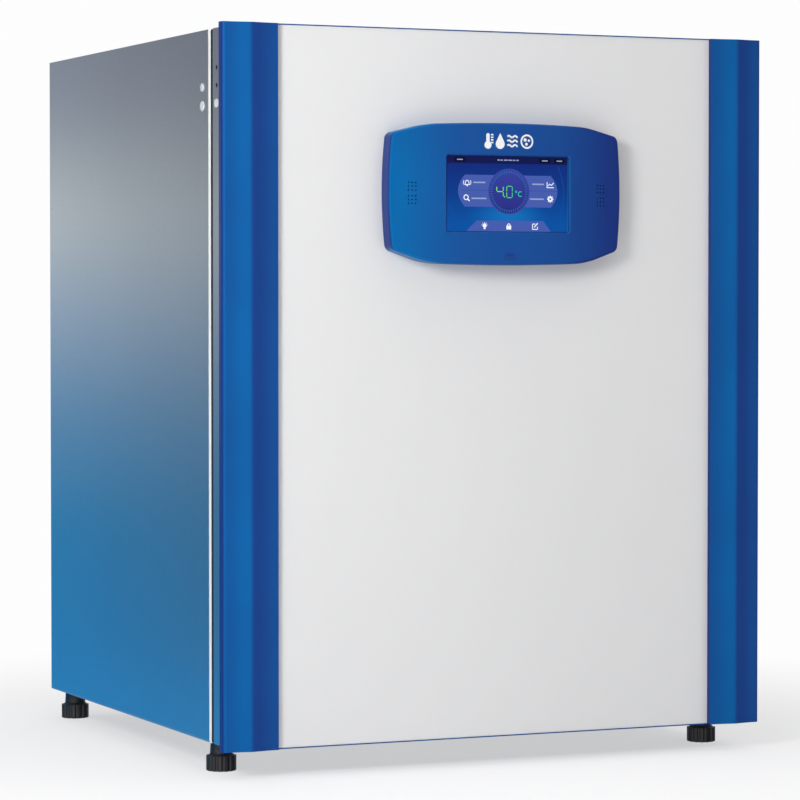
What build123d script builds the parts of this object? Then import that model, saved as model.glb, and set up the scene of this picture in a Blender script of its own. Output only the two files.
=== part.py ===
from build123d import *

import os

os.makedirs("parts", exist_ok=True)

# A laboratory incubator: an insulated cabinet with a heated chamber, an inner glass door and an
# insulated outer door that carries the control panel.  Millimetres.  +X is right seen from the
# front, the front faces -Y and the floor is Z = 0.  A span is a pair of limits along one axis.

# Cabinet box
CABINET_X = (-352.0, 352.0)
CABINET_Y = (-278.5, 333.5)
CABINET_Z = (38.0, 878.0)
SHEET = 1.5
DOOR_SHEET = 1.2
BASE_THICK = 2.0
FRAME_THICK = 7.0
FLANGE = 15.0
FRAME_BACK = CABINET_Y[0] + FRAME_THICK
REAR_INSIDE = CABINET_Y[1] - SHEET
SIDE_INSIDE = CABINET_X[1] - SHEET
CENTRE_Z = (CABINET_Z[0] + CABINET_Z[1]) / 2
RAIL_X = (280.0, 310.0)
RAIL_HEIGHT = 35.5

# Chamber
CHAMBER_WIDTH = 500.0
CHAMBER_HEIGHT = 640.0
CHAMBER_BACK = 248.5
CHAMBER_RADIUS = 25.0
CHAMBER_FLOOR = CENTRE_Z - CHAMBER_HEIGHT / 2
CHAMBER_SIDE = CHAMBER_WIDTH / 2
LINER_FLANGE = 39.0
FRAME_OPENING = (548.0, 688.0)
FRAME_OPENING_RADIUS = 30.0
FOIL_GAP = 0.1
FOIL_THICK = 0.8
FOIL_Y = (-240.0, 235.0)
INSULATION_SIDE = 349.5
INSULATION_BACK = 285.0
INSULATION_Z = (76.0, 875.5)
GAP = 0.3

# Shelves, racks and pan
SHELF_LEVELS = {"lower": 290.0, "middle": 435.0, "upper": 580.0}
SHELF_SIDE = 243.0
SHELF_Y = (-250.0, 185.0)
SHELF_LIP = 12.0
SHELF_HOLE_RADIUS = 9.0
SHELF_HOLE_PITCH = 36.0
SHELF_HOLES = (12, 11)
RACK_THICK = 3.0
RACK_X = (CHAMBER_SIDE - GAP - RACK_THICK, CHAMBER_SIDE - GAP)
RACK_LEDGE = 10.0
RACK_Z = (CHAMBER_FLOOR + 40, CHAMBER_FLOOR + 600)
UPRIGHT_WIDTH = 20.0
UPRIGHT_CENTRES = (-205.0, 145.0)
LEDGE_Y = (-240.0, 180.0)
ANTI_TILT = 15.0
PAN_SIZE = (400.0, 380.0, 40.0)
PAN_RADIUS = 18.0
PAN_WALL = 1.2

# Air circulation
FAN_Z = 690.0
DUCT_X = (-130.0, 130.0)
DUCT_Y = (205.0, CHAMBER_BACK - GAP)
DUCT_Z = (152.0, 764.0)
DUCT_WALL = 1.2
INTAKE_RINGS = ((14.0, 8), (28.0, 16), (42.0, 24))
INTAKE_HOLE_RADIUS = 4.0
OUTLET_SLOT = (70.0, 6.0)
IMPELLER_RADIUS = 60.0
IMPELLER_Y = (213.0, 238.0)
IMPELLER_BLADES = 10
BLADE_THICK = 1.5
SHAFT_RADIUS = 4.0
SHAFT_Y = (213.0, 308.0)
RUNNING_GAP = 0.05
MOTOR_RADIUS = 35.0
MOTOR_Y = (288.2, 322.0)
MOTOR_PLATE = 90.0
PROBE_PLACE = (170.0, 720.0)
PROBE_RADIUS = 2.5
SENSOR_PLACE = (-170.0, 720.0)
SENSOR_RADIUS = 12.0
PORT_PLACE = (-205.0, 500.0)
PORT_BORE = 15.0
PORT_WALL = 4.0
STOPPER_INNER = 300.0

# Outer door.  The trim strips are its widest part.
DOOR_X = (-358.0, 358.0)
DOOR_Z = (33.0, 883.0)
WHITE_FRONT = -326.5
PAN_FRONT = -318.0
PAN_BACK = -286.5
TRIM_INNER = 288.0
TRIM_LIP = WHITE_FRONT - 6.0
TRIM_RIDGE = (323.0, WHITE_FRONT - 10.5)
TRIM_SAG = 1.1
TRIM_RIDGE_RADIUS = 12.0
TRIM_EDGE = WHITE_FRONT - 6.0
TRIM_CORNER = 4.5
TRIM_RETURN = WHITE_FRONT + 5.0
TRIM_END = 3.0
TRIM_WALL = 3.0
RAIL_THICK = 1.1
RECESS = (584.0, 728.0)
RECESS_BOTTOM = -300.0
RECESS_RADIUS = 30.0
GASKET_OUTER = (700.0, 836.0)
GASKET_WIDTH = 18.0
GASKET_RADIUS = 20.0

# Outer door hinges: knuckle axis, and heights of the upper hinge.  The lower one is the same part.
HINGE_AXIS = (351.0, -282.5)
HINGE_SHIFTS = (0.0, -706.0)
KNUCKLE_RADIUS = 6.5
PIN_RADIUS = 3.0
LEAF_X = (352.0, 355.0)
CABINET_KNUCKLE_Z = (780.0, 800.0)
CABINET_LEAF_Z = (780.0, 820.0)
CABINET_LEAF_Y = (-268.0, -236.0)
DOOR_KNUCKLE_Z = (800.4, 842.0)
DOOR_LEAF_Y = (-316.0, HINGE_AXIS[1])
NOTCH_INSIDE = 344.2
NOTCH_Y = (-289.3, -275.7)
CABINET_SCREW_Y = -252.5
CABINET_SCREW_Z = (811.0, 789.0)
DOOR_SCREW_Y = -299.0
DOOR_SCREW_Z = (832.0, 811.0)
DOOR_PLUG_Z = 790.0
SCREW_HOLE = 2.1
SPARE_HOLE = 2.75
PLUG_STEM = 4.0

# Inner glass door
GLASS_SIZE = (540.0, 680.0)
GLASS_Y = (-281.5, -276.5)
GLASS_RADIUS = 28.0
INNER_AXIS = (280.0, -283.5)
INNER_HINGE_Z = (CENTRE_Z - 230, CENTRE_Z + 230)
INNER_KNUCKLE = 3.5
INNER_PIN = 1.5
INNER_HALF = 20.0

# Control panel on the outer door
PANEL_Z = 685.0
PANEL_FACE = -357.5
FACE_RADIUS = 1130.0
SHOULDER = (105.0, 84.0)
PANEL_CROWN = 86.5
CORNER = (150.0, 73.0)
PANEL_SIDE = (154.0, 4.0)
LOWER_CORNER = (150.0, -65.0)
LOWER_SHOULDER = (105.0, -80.5)
LOWER_CROWN = -83.0
SHOULDER_RADIUS = 120.0
CORNER_RADIUS = 9.0
BEZEL_WALL = 2.5
BEZEL_FACE = 5.0
SCREEN = (162.5, 91.0)
SCREEN_Z = PANEL_Z + 2.0
SCREEN_FRONT = -352.0
WINDOW_BEVEL = 1.4
SCREEN_THICK = 3.0
SOUND_X = 125.0
SOUND_PITCH = (4.5, 4.4)
SOUND_GROUP = 7.0
SOUND_RADIUS = 0.9
USB_SIZE = (13.2, 5.7, 14.0)
USB_Y = -341.0

# Feet
FOOT_X = 326.0
FOOT_Y = (-242.5, 309.5)
KNOB_RADIUS = 18.0
KNOB_HEIGHT = 18.0
KNOB_FLUTES = 14
FLUTE_RADIUS = 2.6
STUD_RADIUS = 5.0
STUD_TOP = 66.0
COLLAR_Z = (21.0, CABINET_Z[0])

# Rear fittings
COVER_X = (-180.0, 180.0)
COVER_Z = (150.0, 390.0)
COVER_DEPTH = 22.0
COVER_EDGE = 15.0
INLET_PLACE = (250.0, 112.0)
INLET_FLANGE = (60.0, 34.0)
INLET_CUTOUT = (52.0, 27.0)
INLET_BODY_Y = 305.0
INLET_SOCKET = (24.0, 16.5)
INLET_SOCKET_X = -13.0
ROCKER_X = 14.5
ROCKER_SIZE = (11.0, 19.0)
BARB_PLACES = ((-290.0, 112.0), (-255.0, 112.0))
SPIGOT_RADIUS = 4.0
SPIGOT_LENGTH = 15.0
BARB_TIP = 357.5


def slab(x_span, y_span, z_span, mode=Mode.ADD):
    """A box given by its limits along each axis."""
    spans = [sorted(span) for span in (x_span, y_span, z_span)]
    centre = [(low + high) / 2 for low, high in spans]
    size = [high - low for low, high in spans]
    with Locations(tuple(centre)):
        Box(*size, mode=mode)


def upright_plate(size, radius, centre, y_span, mode=Mode.ADD):
    """A rounded rectangle that faces the front, between two depths; centre is its (x, z)."""
    front, back = sorted(y_span)
    with BuildSketch(Plane.XZ.offset(-back)) as outline:
        with Locations(centre):
            RectangleRounded(*size, radius)
    extrude(outline.sketch, amount=back - front, mode=mode)


def upright_ring(outer, wall, radius, centre, y_span):
    """A rounded rectangular ring of constant width that faces the front."""
    front, back = sorted(y_span)
    inner = [side - 2 * wall for side in outer]
    with BuildSketch(Plane.XZ.offset(-back)) as outline:
        with Locations(centre):
            RectangleRounded(*outer, radius)
            RectangleRounded(*inner, max(radius - wall, 1), mode=Mode.SUBTRACT)
    extrude(outline.sketch, amount=back - front)


def rod(radius, start, end, mode=Mode.ADD):
    """A round bar between two points."""
    run = Vector(end) - Vector(start)
    with BuildSketch(Plane(origin=start, z_dir=run)) as section:
        Circle(radius)
    extrude(section.sketch, amount=run.length, mode=mode)


def rod_y(radius, place, y_span, mode=Mode.ADD):
    """A round bar along Y at (x, z)."""
    rod(radius, (place[0], y_span[0], place[1]), (place[0], y_span[1], place[1]), mode)


def rod_z(radius, place, z_span, mode=Mode.ADD):
    """A round bar along Z at (x, y)."""
    rod(radius, (place[0], place[1], z_span[0]), (place[0], place[1], z_span[1]), mode)


def cone_z(radii, place, z_span):
    """A cone along Z at (x, y), from the lower radius to the upper one."""
    height = z_span[1] - z_span[0]
    with Locations((place[0], place[1], z_span[0])):
        Cone(radii[0], radii[1], height, align=(Align.CENTER, Align.CENTER, Align.MIN))


def hinge_notches(y_span):
    """Room for the two outer hinges' knuckles in the right edge of a plate."""
    for shift in HINGE_SHIFTS:
        low = CABINET_KNUCKLE_Z[0] + shift - 1
        high = DOOR_KNUCKLE_Z[1] + shift + 1
        slab((NOTCH_INSIDE, DOOR_X[1]), y_span, (low, high), mode=Mode.SUBTRACT)


def save(part, name):
    """Label a finished part and write it."""
    part.label = name
    export_step(part, f"parts/{name}.step")


# ---------------------------------------------------------------- cabinet shell

for side, name in ((-1, "left"), (1, "right")):
    with BuildPart() as side_panel:
        height = (CABINET_Z[0] + BASE_THICK, CABINET_Z[1] - SHEET)
        slab((side * SIDE_INSIDE, side * CABINET_X[1]), (FRAME_BACK, REAR_INSIDE), height)
        inward = (side * (SIDE_INSIDE - FLANGE), side * SIDE_INSIDE)
        slab(inward, (REAR_INSIDE - SHEET, REAR_INSIDE), height)
        slab((side * (SIDE_INSIDE - 10), side * SIDE_INSIDE), (FRAME_BACK, FRAME_BACK + SHEET), height)
        across = (side * (SIDE_INSIDE - 1), side * CABINET_X[1])
        if side < 0:
            # the hinge holes of the other hand, closed by plugs
            holes = [(PLUG_STEM, z) for z in CABINET_SCREW_Z]
        else:
            holes = [(SCREW_HOLE, z + shift) for shift in HINGE_SHIFTS for z in CABINET_SCREW_Z]
        for radius, z in holes:
            start = (across[0], CABINET_SCREW_Y, z)
            rod(radius, start, (across[1], CABINET_SCREW_Y, z), mode=Mode.SUBTRACT)
    save(side_panel.part, f"{name}_side_panel")

with BuildPart() as top_panel:
    top_z = (CABINET_Z[1] - SHEET, CABINET_Z[1])
    lip_x = (-(SIDE_INSIDE - FLANGE - 1), SIDE_INSIDE - FLANGE - 1)
    slab(CABINET_X, (FRAME_BACK, REAR_INSIDE), top_z)
    slab(lip_x, (REAR_INSIDE - SHEET, REAR_INSIDE), (top_z[0] - FLANGE, top_z[0]))
save(top_panel.part, "top_panel")

with BuildPart() as base_plate:
    base_z = (CABINET_Z[0], CABINET_Z[0] + BASE_THICK)
    slab(CABINET_X, (FRAME_BACK, REAR_INSIDE), base_z)
    for side in (-1, 1):
        rail_x = (side * RAIL_X[0], side * RAIL_X[1])
        inner_x = (side * (RAIL_X[0] + SHEET), side * (RAIL_X[1] - SHEET))
        rail_y = (FRAME_BACK + 6, REAR_INSIDE - 6)
        rail_top = base_z[1] + RAIL_HEIGHT
        slab(rail_x, rail_y, (base_z[1], rail_top))
        slab(inner_x, rail_y, (base_z[1], rail_top - SHEET), mode=Mode.SUBTRACT)
    for x in (-FOOT_X, FOOT_X):
        for y in FOOT_Y:
            rod_z(STUD_RADIUS + GAP, (x, y), base_z, mode=Mode.SUBTRACT)
save(base_plate.part, "base_plate")

with BuildPart() as rear_panel:
    panel_y = (REAR_INSIDE, CABINET_Y[1])
    through = (REAR_INSIDE - 1, CABINET_Y[1] + 1)
    slab((CABINET_X[0] + 1, CABINET_X[1] - 1), panel_y, (CABINET_Z[0] + 1, CABINET_Z[1] - 1))
    opening = (COVER_X[0] + COVER_EDGE, COVER_X[1] - COVER_EDGE)
    slab(opening, through, (COVER_Z[0] + COVER_EDGE, COVER_Z[1] - COVER_EDGE), mode=Mode.SUBTRACT)
    rod_y(PORT_BORE + PORT_WALL, PORT_PLACE, through, mode=Mode.SUBTRACT)
    for place in BARB_PLACES:
        rod_y(SPIGOT_RADIUS, place, through, mode=Mode.SUBTRACT)
    upright_plate(INLET_CUTOUT, 1.0, INLET_PLACE, through, mode=Mode.SUBTRACT)
save(rear_panel.part, "rear_panel")

with BuildPart() as front_frame:
    slab(CABINET_X, (CABINET_Y[0], FRAME_BACK), CABINET_Z)
    opening_y = (CABINET_Y[0] - 1, FRAME_BACK + 1)
    upright_plate(FRAME_OPENING, FRAME_OPENING_RADIUS, (0, CENTRE_Z), opening_y, mode=Mode.SUBTRACT)
    hinge_notches((CABINET_Y[0] - 1, NOTCH_Y[1]))
    outer_edges = front_frame.faces().sort_by(Axis.Y)[0].outer_wire().edges()
    chamfer(outer_edges.filter_by(Axis.Z).sort_by(Axis.X)[0], 1.0)
save(front_frame.part, "front_frame")

# ---------------------------------------------------------------- chamber

LINER_OUTER = [side + 2 * SHEET for side in (CHAMBER_WIDTH, CHAMBER_HEIGHT)]
LINER_BACK = CHAMBER_BACK + SHEET
WALL_HOLES = (
    (SHAFT_RADIUS + 2, (0, FAN_Z)),
    (PROBE_RADIUS + 0.1, PROBE_PLACE),
    (SENSOR_RADIUS + 0.1, SENSOR_PLACE),
    (PORT_BORE + PORT_WALL, PORT_PLACE),
)

with BuildPart() as chamber_liner:
    flange_size = [side + 2 * LINER_FLANGE for side in (CHAMBER_WIDTH, CHAMBER_HEIGHT)]
    flange_y = (FRAME_BACK, FRAME_BACK + SHEET)
    upright_plate(flange_size, CHAMBER_RADIUS + LINER_FLANGE, (0, CENTRE_Z), flange_y)
    upright_plate(LINER_OUTER, CHAMBER_RADIUS + SHEET, (0, CENTRE_Z), (FRAME_BACK, LINER_BACK))
    cavity = (CHAMBER_WIDTH, CHAMBER_HEIGHT)
    cavity_y = (FRAME_BACK - 1, CHAMBER_BACK)
    upright_plate(cavity, CHAMBER_RADIUS, (0, CENTRE_Z), cavity_y, mode=Mode.SUBTRACT)
    for radius, place in WALL_HOLES:
        rod_y(radius, place, (CHAMBER_BACK - 1, LINER_BACK + 1), mode=Mode.SUBTRACT)
save(chamber_liner.part, "chamber_liner")

with BuildPart() as heater_foil:
    foil_outer = [side + 2 * (FOIL_GAP + FOIL_THICK) for side in LINER_OUTER]
    foil_radius = CHAMBER_RADIUS + SHEET + FOIL_GAP + FOIL_THICK
    upright_ring(foil_outer, FOIL_THICK, foil_radius, (0, CENTRE_Z), FOIL_Y)
save(heater_foil.part, "heater_foil")

with BuildPart() as cabinet_insulation:
    insulation_front = FRAME_BACK + SHEET
    slab((-INSULATION_SIDE, INSULATION_SIDE), (insulation_front, INSULATION_BACK), INSULATION_Z)
    clear = FOIL_GAP + FOIL_THICK + 0.2
    pocket = [side + 2 * clear for side in LINER_OUTER]
    pocket_y = (insulation_front - 1, LINER_BACK + 0.2)
    upright_plate(pocket, CHAMBER_RADIUS + SHEET + clear, (0, CENTRE_Z), pocket_y, mode=Mode.SUBTRACT)
    for radius, place in WALL_HOLES:
        rod_y(radius + 0.3, place, (LINER_BACK - 1, INSULATION_BACK + 1), mode=Mode.SUBTRACT)
save(cabinet_insulation.part, "cabinet_insulation")

with BuildPart() as chamber_gasket:
    gasket_size = (GLASS_SIZE[0] - 4, GLASS_SIZE[1] - 4)
    upright_ring(gasket_size, 14.0, FRAME_OPENING_RADIUS, (0, CENTRE_Z), (GLASS_Y[1] + GAP, FRAME_BACK))
    gasket_front = chamber_gasket.faces().sort_by(Axis.Y)[0]
    fillet(gasket_front.edges(), 1.8)
save(chamber_gasket.part, "chamber_gasket")

with BuildPart() as shelf_racks:
    for side in (-1, 1):
        rack_x = (side * RACK_X[0], side * RACK_X[1])
        ledge_x = (side * (RACK_X[0] - RACK_LEDGE), side * RACK_X[1])
        for centre in UPRIGHT_CENTRES:
            upright_y = (centre - UPRIGHT_WIDTH / 2, centre + UPRIGHT_WIDTH / 2)
            slab(rack_x, upright_y, RACK_Z)
        for level in SHELF_LEVELS.values():
            for underside in (level - SHEET, level + ANTI_TILT):
                slab(ledge_x, LEDGE_Y, (underside, underside + SHEET))
save(shelf_racks.part, "shelf_racks")

for name, level in SHELF_LEVELS.items():
    with BuildPart() as shelf:
        slab((-SHELF_SIDE, SHELF_SIDE), SHELF_Y, (level, level + SHEET))
        middle_y = (SHELF_Y[0] + SHELF_Y[1]) / 2
        for y in SHELF_Y:
            inward = y + SHEET if y < middle_y else y - SHEET
            slab((-SHELF_SIDE + 20, SHELF_SIDE - 20), (y, inward), (level - SHELF_LIP, level))
        with BuildSketch(Plane.XY.offset(level)) as holes:
            with Locations((0, middle_y)):
                with GridLocations(SHELF_HOLE_PITCH, SHELF_HOLE_PITCH, *SHELF_HOLES):
                    Circle(SHELF_HOLE_RADIUS)
        extrude(amount=SHEET, mode=Mode.SUBTRACT)
    save(shelf.part, f"{name}_shelf")

with BuildPart() as humidity_pan:
    pan_floor = CHAMBER_FLOOR + 0.2
    with BuildSketch(Plane.XY.offset(pan_floor)) as pan_outline:
        with Locations((0, -20)):
            RectangleRounded(PAN_SIZE[0], PAN_SIZE[1], PAN_RADIUS)
    extrude(amount=PAN_SIZE[2])
    pan_top = humidity_pan.faces().sort_by(Axis.Z)[-1]
    offset(amount=-PAN_WALL, openings=pan_top)
    with BuildSketch(Plane.XY.offset(pan_floor + PAN_SIZE[2])) as rim:
        with Locations((0, -20)):
            RectangleRounded(PAN_SIZE[0] + 12, PAN_SIZE[1] + 12, PAN_RADIUS + 6)
            inside = (PAN_SIZE[0] - 2 * PAN_WALL, PAN_SIZE[1] - 2 * PAN_WALL)
            RectangleRounded(*inside, PAN_RADIUS - PAN_WALL, mode=Mode.SUBTRACT)
    extrude(amount=PAN_WALL)
save(humidity_pan.part, "humidity_pan")

# ---------------------------------------------------------------- air circulation and sensors

with BuildPart() as air_duct_cover:
    slab(DUCT_X, DUCT_Y, DUCT_Z)
    hollow_x = (DUCT_X[0] + DUCT_WALL, DUCT_X[1] - DUCT_WALL)
    hollow_y = (DUCT_Y[0] + DUCT_WALL, DUCT_Y[1] + 1)
    slab(hollow_x, hollow_y, (DUCT_Z[0] - 1, DUCT_Z[1] - DUCT_WALL), mode=Mode.SUBTRACT)
    with BuildSketch(Plane.XZ.offset(-hollow_y[0])) as intake:
        with Locations((0, FAN_Z)):
            Circle(INTAKE_HOLE_RADIUS)
            for ring, count in INTAKE_RINGS:
                with PolarLocations(ring, count):
                    Circle(INTAKE_HOLE_RADIUS)
        with Locations((0, (DUCT_Z[0] + FAN_Z) / 2 - 60)):
            with GridLocations(OUTLET_SLOT[0] + 20, 60, 2, 6):
                SlotOverall(*OUTLET_SLOT)
    extrude(amount=DUCT_WALL, mode=Mode.SUBTRACT)
save(air_duct_cover.part, "air_duct_cover")

with BuildPart() as fan_impeller:
    rod_y(IMPELLER_RADIUS, (0, FAN_Z), (IMPELLER_Y[1] - 2, IMPELLER_Y[1]))
    rod_y(16.0, (0, FAN_Z), IMPELLER_Y)
    with BuildSketch(Plane.XZ.offset(-IMPELLER_Y[1] + 1)) as blades:
        with Locations((0, FAN_Z)):
            with PolarLocations(38, IMPELLER_BLADES):
                Rectangle(40, BLADE_THICK, rotation=25)
    extrude(amount=IMPELLER_Y[1] - IMPELLER_Y[0] - 3)
    rod_y(SHAFT_RADIUS, (0, FAN_Z), (IMPELLER_Y[0] - 1, IMPELLER_Y[1] + 1), mode=Mode.SUBTRACT)
save(fan_impeller.part, "fan_impeller")

with BuildPart() as fan_shaft:
    rod_y(SHAFT_RADIUS, (0, FAN_Z), SHAFT_Y)
    chamfer(fan_shaft.edges().group_by(Axis.Y)[0], 0.6)
save(fan_shaft.part, "fan_shaft")

with BuildPart() as fan_motor:
    plate_y = (INSULATION_BACK + 0.2, MOTOR_Y[0])
    upright_plate((MOTOR_PLATE, MOTOR_PLATE), 8.0, (0, FAN_Z), plate_y)
    rod_y(MOTOR_RADIUS, (0, FAN_Z), MOTOR_Y)
    fillet(fan_motor.edges().group_by(Axis.Y)[-1], 4.0)
    bore_y = (plate_y[0] - 1, SHAFT_Y[1] + 1)
    rod_y(SHAFT_RADIUS + RUNNING_GAP, (0, FAN_Z), bore_y, mode=Mode.SUBTRACT)
save(fan_motor.part, "fan_motor")

with BuildPart() as temperature_probe:
    rod_y(PROBE_RADIUS, PROBE_PLACE, (186, INSULATION_BACK + 5))
    rod_y(PROBE_RADIUS * 2.6, PROBE_PLACE, (CHAMBER_BACK - 5, CHAMBER_BACK))
save(temperature_probe.part, "temperature_probe")

with BuildPart() as co2_sensor:
    rod_y(SENSOR_RADIUS, SENSOR_PLACE, (205, INSULATION_BACK + 10))
    rod_y(SENSOR_RADIUS + 5, SENSOR_PLACE, (CHAMBER_BACK - 3, CHAMBER_BACK))
    fillet(co2_sensor.edges().group_by(Axis.Y)[0], 3.0)
save(co2_sensor.part, "co2_sensor")

with BuildPart() as port_sleeve:
    outside = PORT_BORE + PORT_WALL
    rod_y(outside, PORT_PLACE, (CHAMBER_BACK, CABINET_Y[1]))
    rod_y(outside + 6, PORT_PLACE, (CHAMBER_BACK - 2, CHAMBER_BACK))
    rod_y(outside + 7, PORT_PLACE, (CABINET_Y[1], CABINET_Y[1] + 2.5))
    rod_y(PORT_BORE, PORT_PLACE, (CHAMBER_BACK - 3, CABINET_Y[1] + 4), mode=Mode.SUBTRACT)
save(port_sleeve.part, "port_sleeve")

with BuildPart() as port_stopper:
    stopper_head = CABINET_Y[1] + 2.5 + GAP
    rod_y(PORT_BORE - 0.1, PORT_PLACE, (STOPPER_INNER, stopper_head))
    rod_y(PORT_BORE + 5, PORT_PLACE, (stopper_head, stopper_head + 8))
    chamfer(port_stopper.edges().group_by(Axis.Y)[0], 2.0)
    fillet(port_stopper.edges().group_by(Axis.Y)[-1], 2.0)
save(port_stopper.part, "port_stopper")

# ---------------------------------------------------------------- rear fittings

with BuildPart() as rear_service_cover:
    cover_y = (CABINET_Y[1], CABINET_Y[1] + COVER_DEPTH)
    slab(COVER_X, cover_y, COVER_Z)
    chamfer(rear_service_cover.edges().group_by(Axis.Y)[-1], 5.0)
    inner_x = (COVER_X[0] + SHEET, COVER_X[1] - SHEET)
    inner_z = (COVER_Z[0] + SHEET, COVER_Z[1] - SHEET)
    slab(inner_x, (cover_y[0] - 1, cover_y[0] + 15), inner_z, mode=Mode.SUBTRACT)
    inner_x = (inner_x[0] + 5, inner_x[1] - 5)
    inner_z = (inner_z[0] + 5, inner_z[1] - 5)
    slab(inner_x, (cover_y[0] - 1, cover_y[1] - SHEET), inner_z, mode=Mode.SUBTRACT)
    with BuildSketch(Plane.XZ.offset(-cover_y[1])) as louvres:
        with Locations((0, (COVER_Z[0] + COVER_Z[1]) / 2)):
            with GridLocations(110, 14, 3, 11):
                SlotOverall(88, 5)
    extrude(amount=SHEET + 1, mode=Mode.SUBTRACT)
save(rear_service_cover.part, "rear_service_cover")

with BuildPart() as control_board:
    board_y = (322.0, 323.6)
    cover_middle = (COVER_Z[0] + COVER_Z[1]) / 2
    upright_plate((220, 160), 3.0, (0, cover_middle), board_y)
    for x, z, width, height, depth in (
        (-70, 40, 50, 45, 28),
        (0, 45, 40, 20, 12),
        (65, 40, 34, 34, 20),
        (-60, -35, 30, 30, 8),
        (10, -30, 60, 24, 14),
        (75, -40, 24, 40, 12),
    ):
        block_z = (cover_middle + z - height / 2, cover_middle + z + height / 2)
        slab((x - width / 2, x + width / 2), (board_y[0] - depth, board_y[0]), block_z)
save(control_board.part, "control_board")

with BuildPart() as power_inlet:
    flange_y = (CABINET_Y[1], CABINET_Y[1] + 3)
    upright_plate(INLET_FLANGE, 4.0, INLET_PLACE, flange_y)
    body_size = (INLET_CUTOUT[0] - 0.6, INLET_CUTOUT[1] - 0.6)
    upright_plate(body_size, 1.0, INLET_PLACE, (INLET_BODY_Y, CABINET_Y[1]))
    socket_place = (INLET_PLACE[0] + INLET_SOCKET_X, INLET_PLACE[1])
    socket_y = (flange_y[1] - 18, flange_y[1] + 1)
    upright_plate(INLET_SOCKET, 3.0, socket_place, socket_y, mode=Mode.SUBTRACT)
    for x, z in ((-7, -2), (0, 3), (7, -2)):
        blade = (socket_place[0] + x, socket_place[1] + z)
        slab((blade[0] - 1, blade[0] + 1), (socket_y[0], socket_y[0] + 9), (blade[1] - 2, blade[1] + 2))
    rocker_place = (INLET_PLACE[0] + ROCKER_X, INLET_PLACE[1])
    pocket_size = (ROCKER_SIZE[0] + 1, ROCKER_SIZE[1] + 1)
    upright_plate(pocket_size, 1.0, rocker_place, (flange_y[1] - 14, flange_y[1] + 1), mode=Mode.SUBTRACT)
save(power_inlet.part, "power_inlet")

ROCKER_PIVOT_Y = CABINET_Y[1] - 1.0
ROCKER_HALF = ROCKER_SIZE[1] / 2
ROCKER_DROP = 2.6

with BuildPart() as power_rocker:
    rocker_x = INLET_PLACE[0] + ROCKER_X
    start_x = rocker_x - ROCKER_SIZE[0] / 2
    with BuildSketch(Plane.YZ.offset(start_x)) as rocker_profile:
        with BuildLine():
            Polyline(
                (ROCKER_PIVOT_Y - 3, INLET_PLACE[1] - ROCKER_HALF + 2.2),
                (ROCKER_PIVOT_Y + 4.0, INLET_PLACE[1] - ROCKER_HALF + 0.6),
                (ROCKER_PIVOT_Y + 6.4, INLET_PLACE[1] - ROCKER_HALF + 1.0),
                (ROCKER_PIVOT_Y + 4.6, INLET_PLACE[1]),
                (ROCKER_PIVOT_Y + 6.4 - ROCKER_DROP, INLET_PLACE[1] + ROCKER_HALF - 0.4),
                (ROCKER_PIVOT_Y - 3, INLET_PLACE[1] + ROCKER_HALF - 2.2),
                close=True,
            )
        make_face()
    extrude(amount=ROCKER_SIZE[0])
save(power_rocker.part, "power_rocker")

with BuildPart() as gas_inlet_barbs:
    for place in BARB_PLACES:
        spigot_end = BARB_TIP - 5
        rod_y(SPIGOT_RADIUS, place, (CABINET_Y[1] - 20, spigot_end))
        with BuildSketch(Plane.XZ.offset(-CABINET_Y[1] - 4)) as nut:
            with Locations(place):
                RegularPolygon(8.0, 6)
        extrude(amount=4.0)
        tip = Plane(origin=(place[0], spigot_end, place[1]), z_dir=(0, 1, 0))
        with BuildSketch(tip):
            Circle(SPIGOT_RADIUS)
        with BuildSketch(tip.offset(BARB_TIP - spigot_end)):
            Circle(SPIGOT_RADIUS - 1)
        loft()
        rod_y(SPIGOT_RADIUS - 1.8, place, (CABINET_Y[1] - 21, BARB_TIP + 1), mode=Mode.SUBTRACT)
save(gas_inlet_barbs.part, "gas_inlet_barbs")

with BuildPart() as rear_panel_screws:
    head = (CABINET_Y[1], CABINET_Y[1] + 2.2)
    for x in (-343.0, 343.0):
        for z in (60.0, 260.0, 460.0, 660.0, 856.0):
            rod_y(3.6, (x, z), head)
    for x in (-200.0, 0.0, 200.0):
        rod_y(3.6, (x, 869.0), head)
    fillet(rear_panel_screws.edges().group_by(Axis.Y)[-1], 1.2)
save(rear_panel_screws.part, "rear_panel_screws")

# ---------------------------------------------------------------- feet

FOOT_NAMES = {
    "front_left_foot": (-FOOT_X, FOOT_Y[0]),
    "front_right_foot": (FOOT_X, FOOT_Y[0]),
    "rear_left_foot": (-FOOT_X, FOOT_Y[1]),
    "rear_right_foot": (FOOT_X, FOOT_Y[1]),
}

for name, place in FOOT_NAMES.items():
    with BuildPart() as foot:
        with BuildSketch() as knob:
            with Locations(place):
                Circle(KNOB_RADIUS)
                with PolarLocations(KNOB_RADIUS + FLUTE_RADIUS * 0.45, KNOB_FLUTES):
                    Circle(FLUTE_RADIUS, mode=Mode.SUBTRACT)
        extrude(amount=KNOB_HEIGHT)
        chamfer(foot.faces().sort_by(Axis.Z)[0].edges(), 0.8)
        cone_z((KNOB_RADIUS - 2, 13.0), place, (KNOB_HEIGHT, COLLAR_Z[0] - GAP))
        rod_z(STUD_RADIUS, place, (KNOB_HEIGHT, STUD_TOP))
    save(foot.part, name)

with BuildPart() as foot_collars:
    for place in FOOT_NAMES.values():
        cone_z((13.5, 12.5), place, COLLAR_Z)
        rod_z(STUD_RADIUS + GAP, place, COLLAR_Z, mode=Mode.SUBTRACT)
save(foot_collars.part, "foot_collars")

# ---------------------------------------------------------------- outer door hinges

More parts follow.
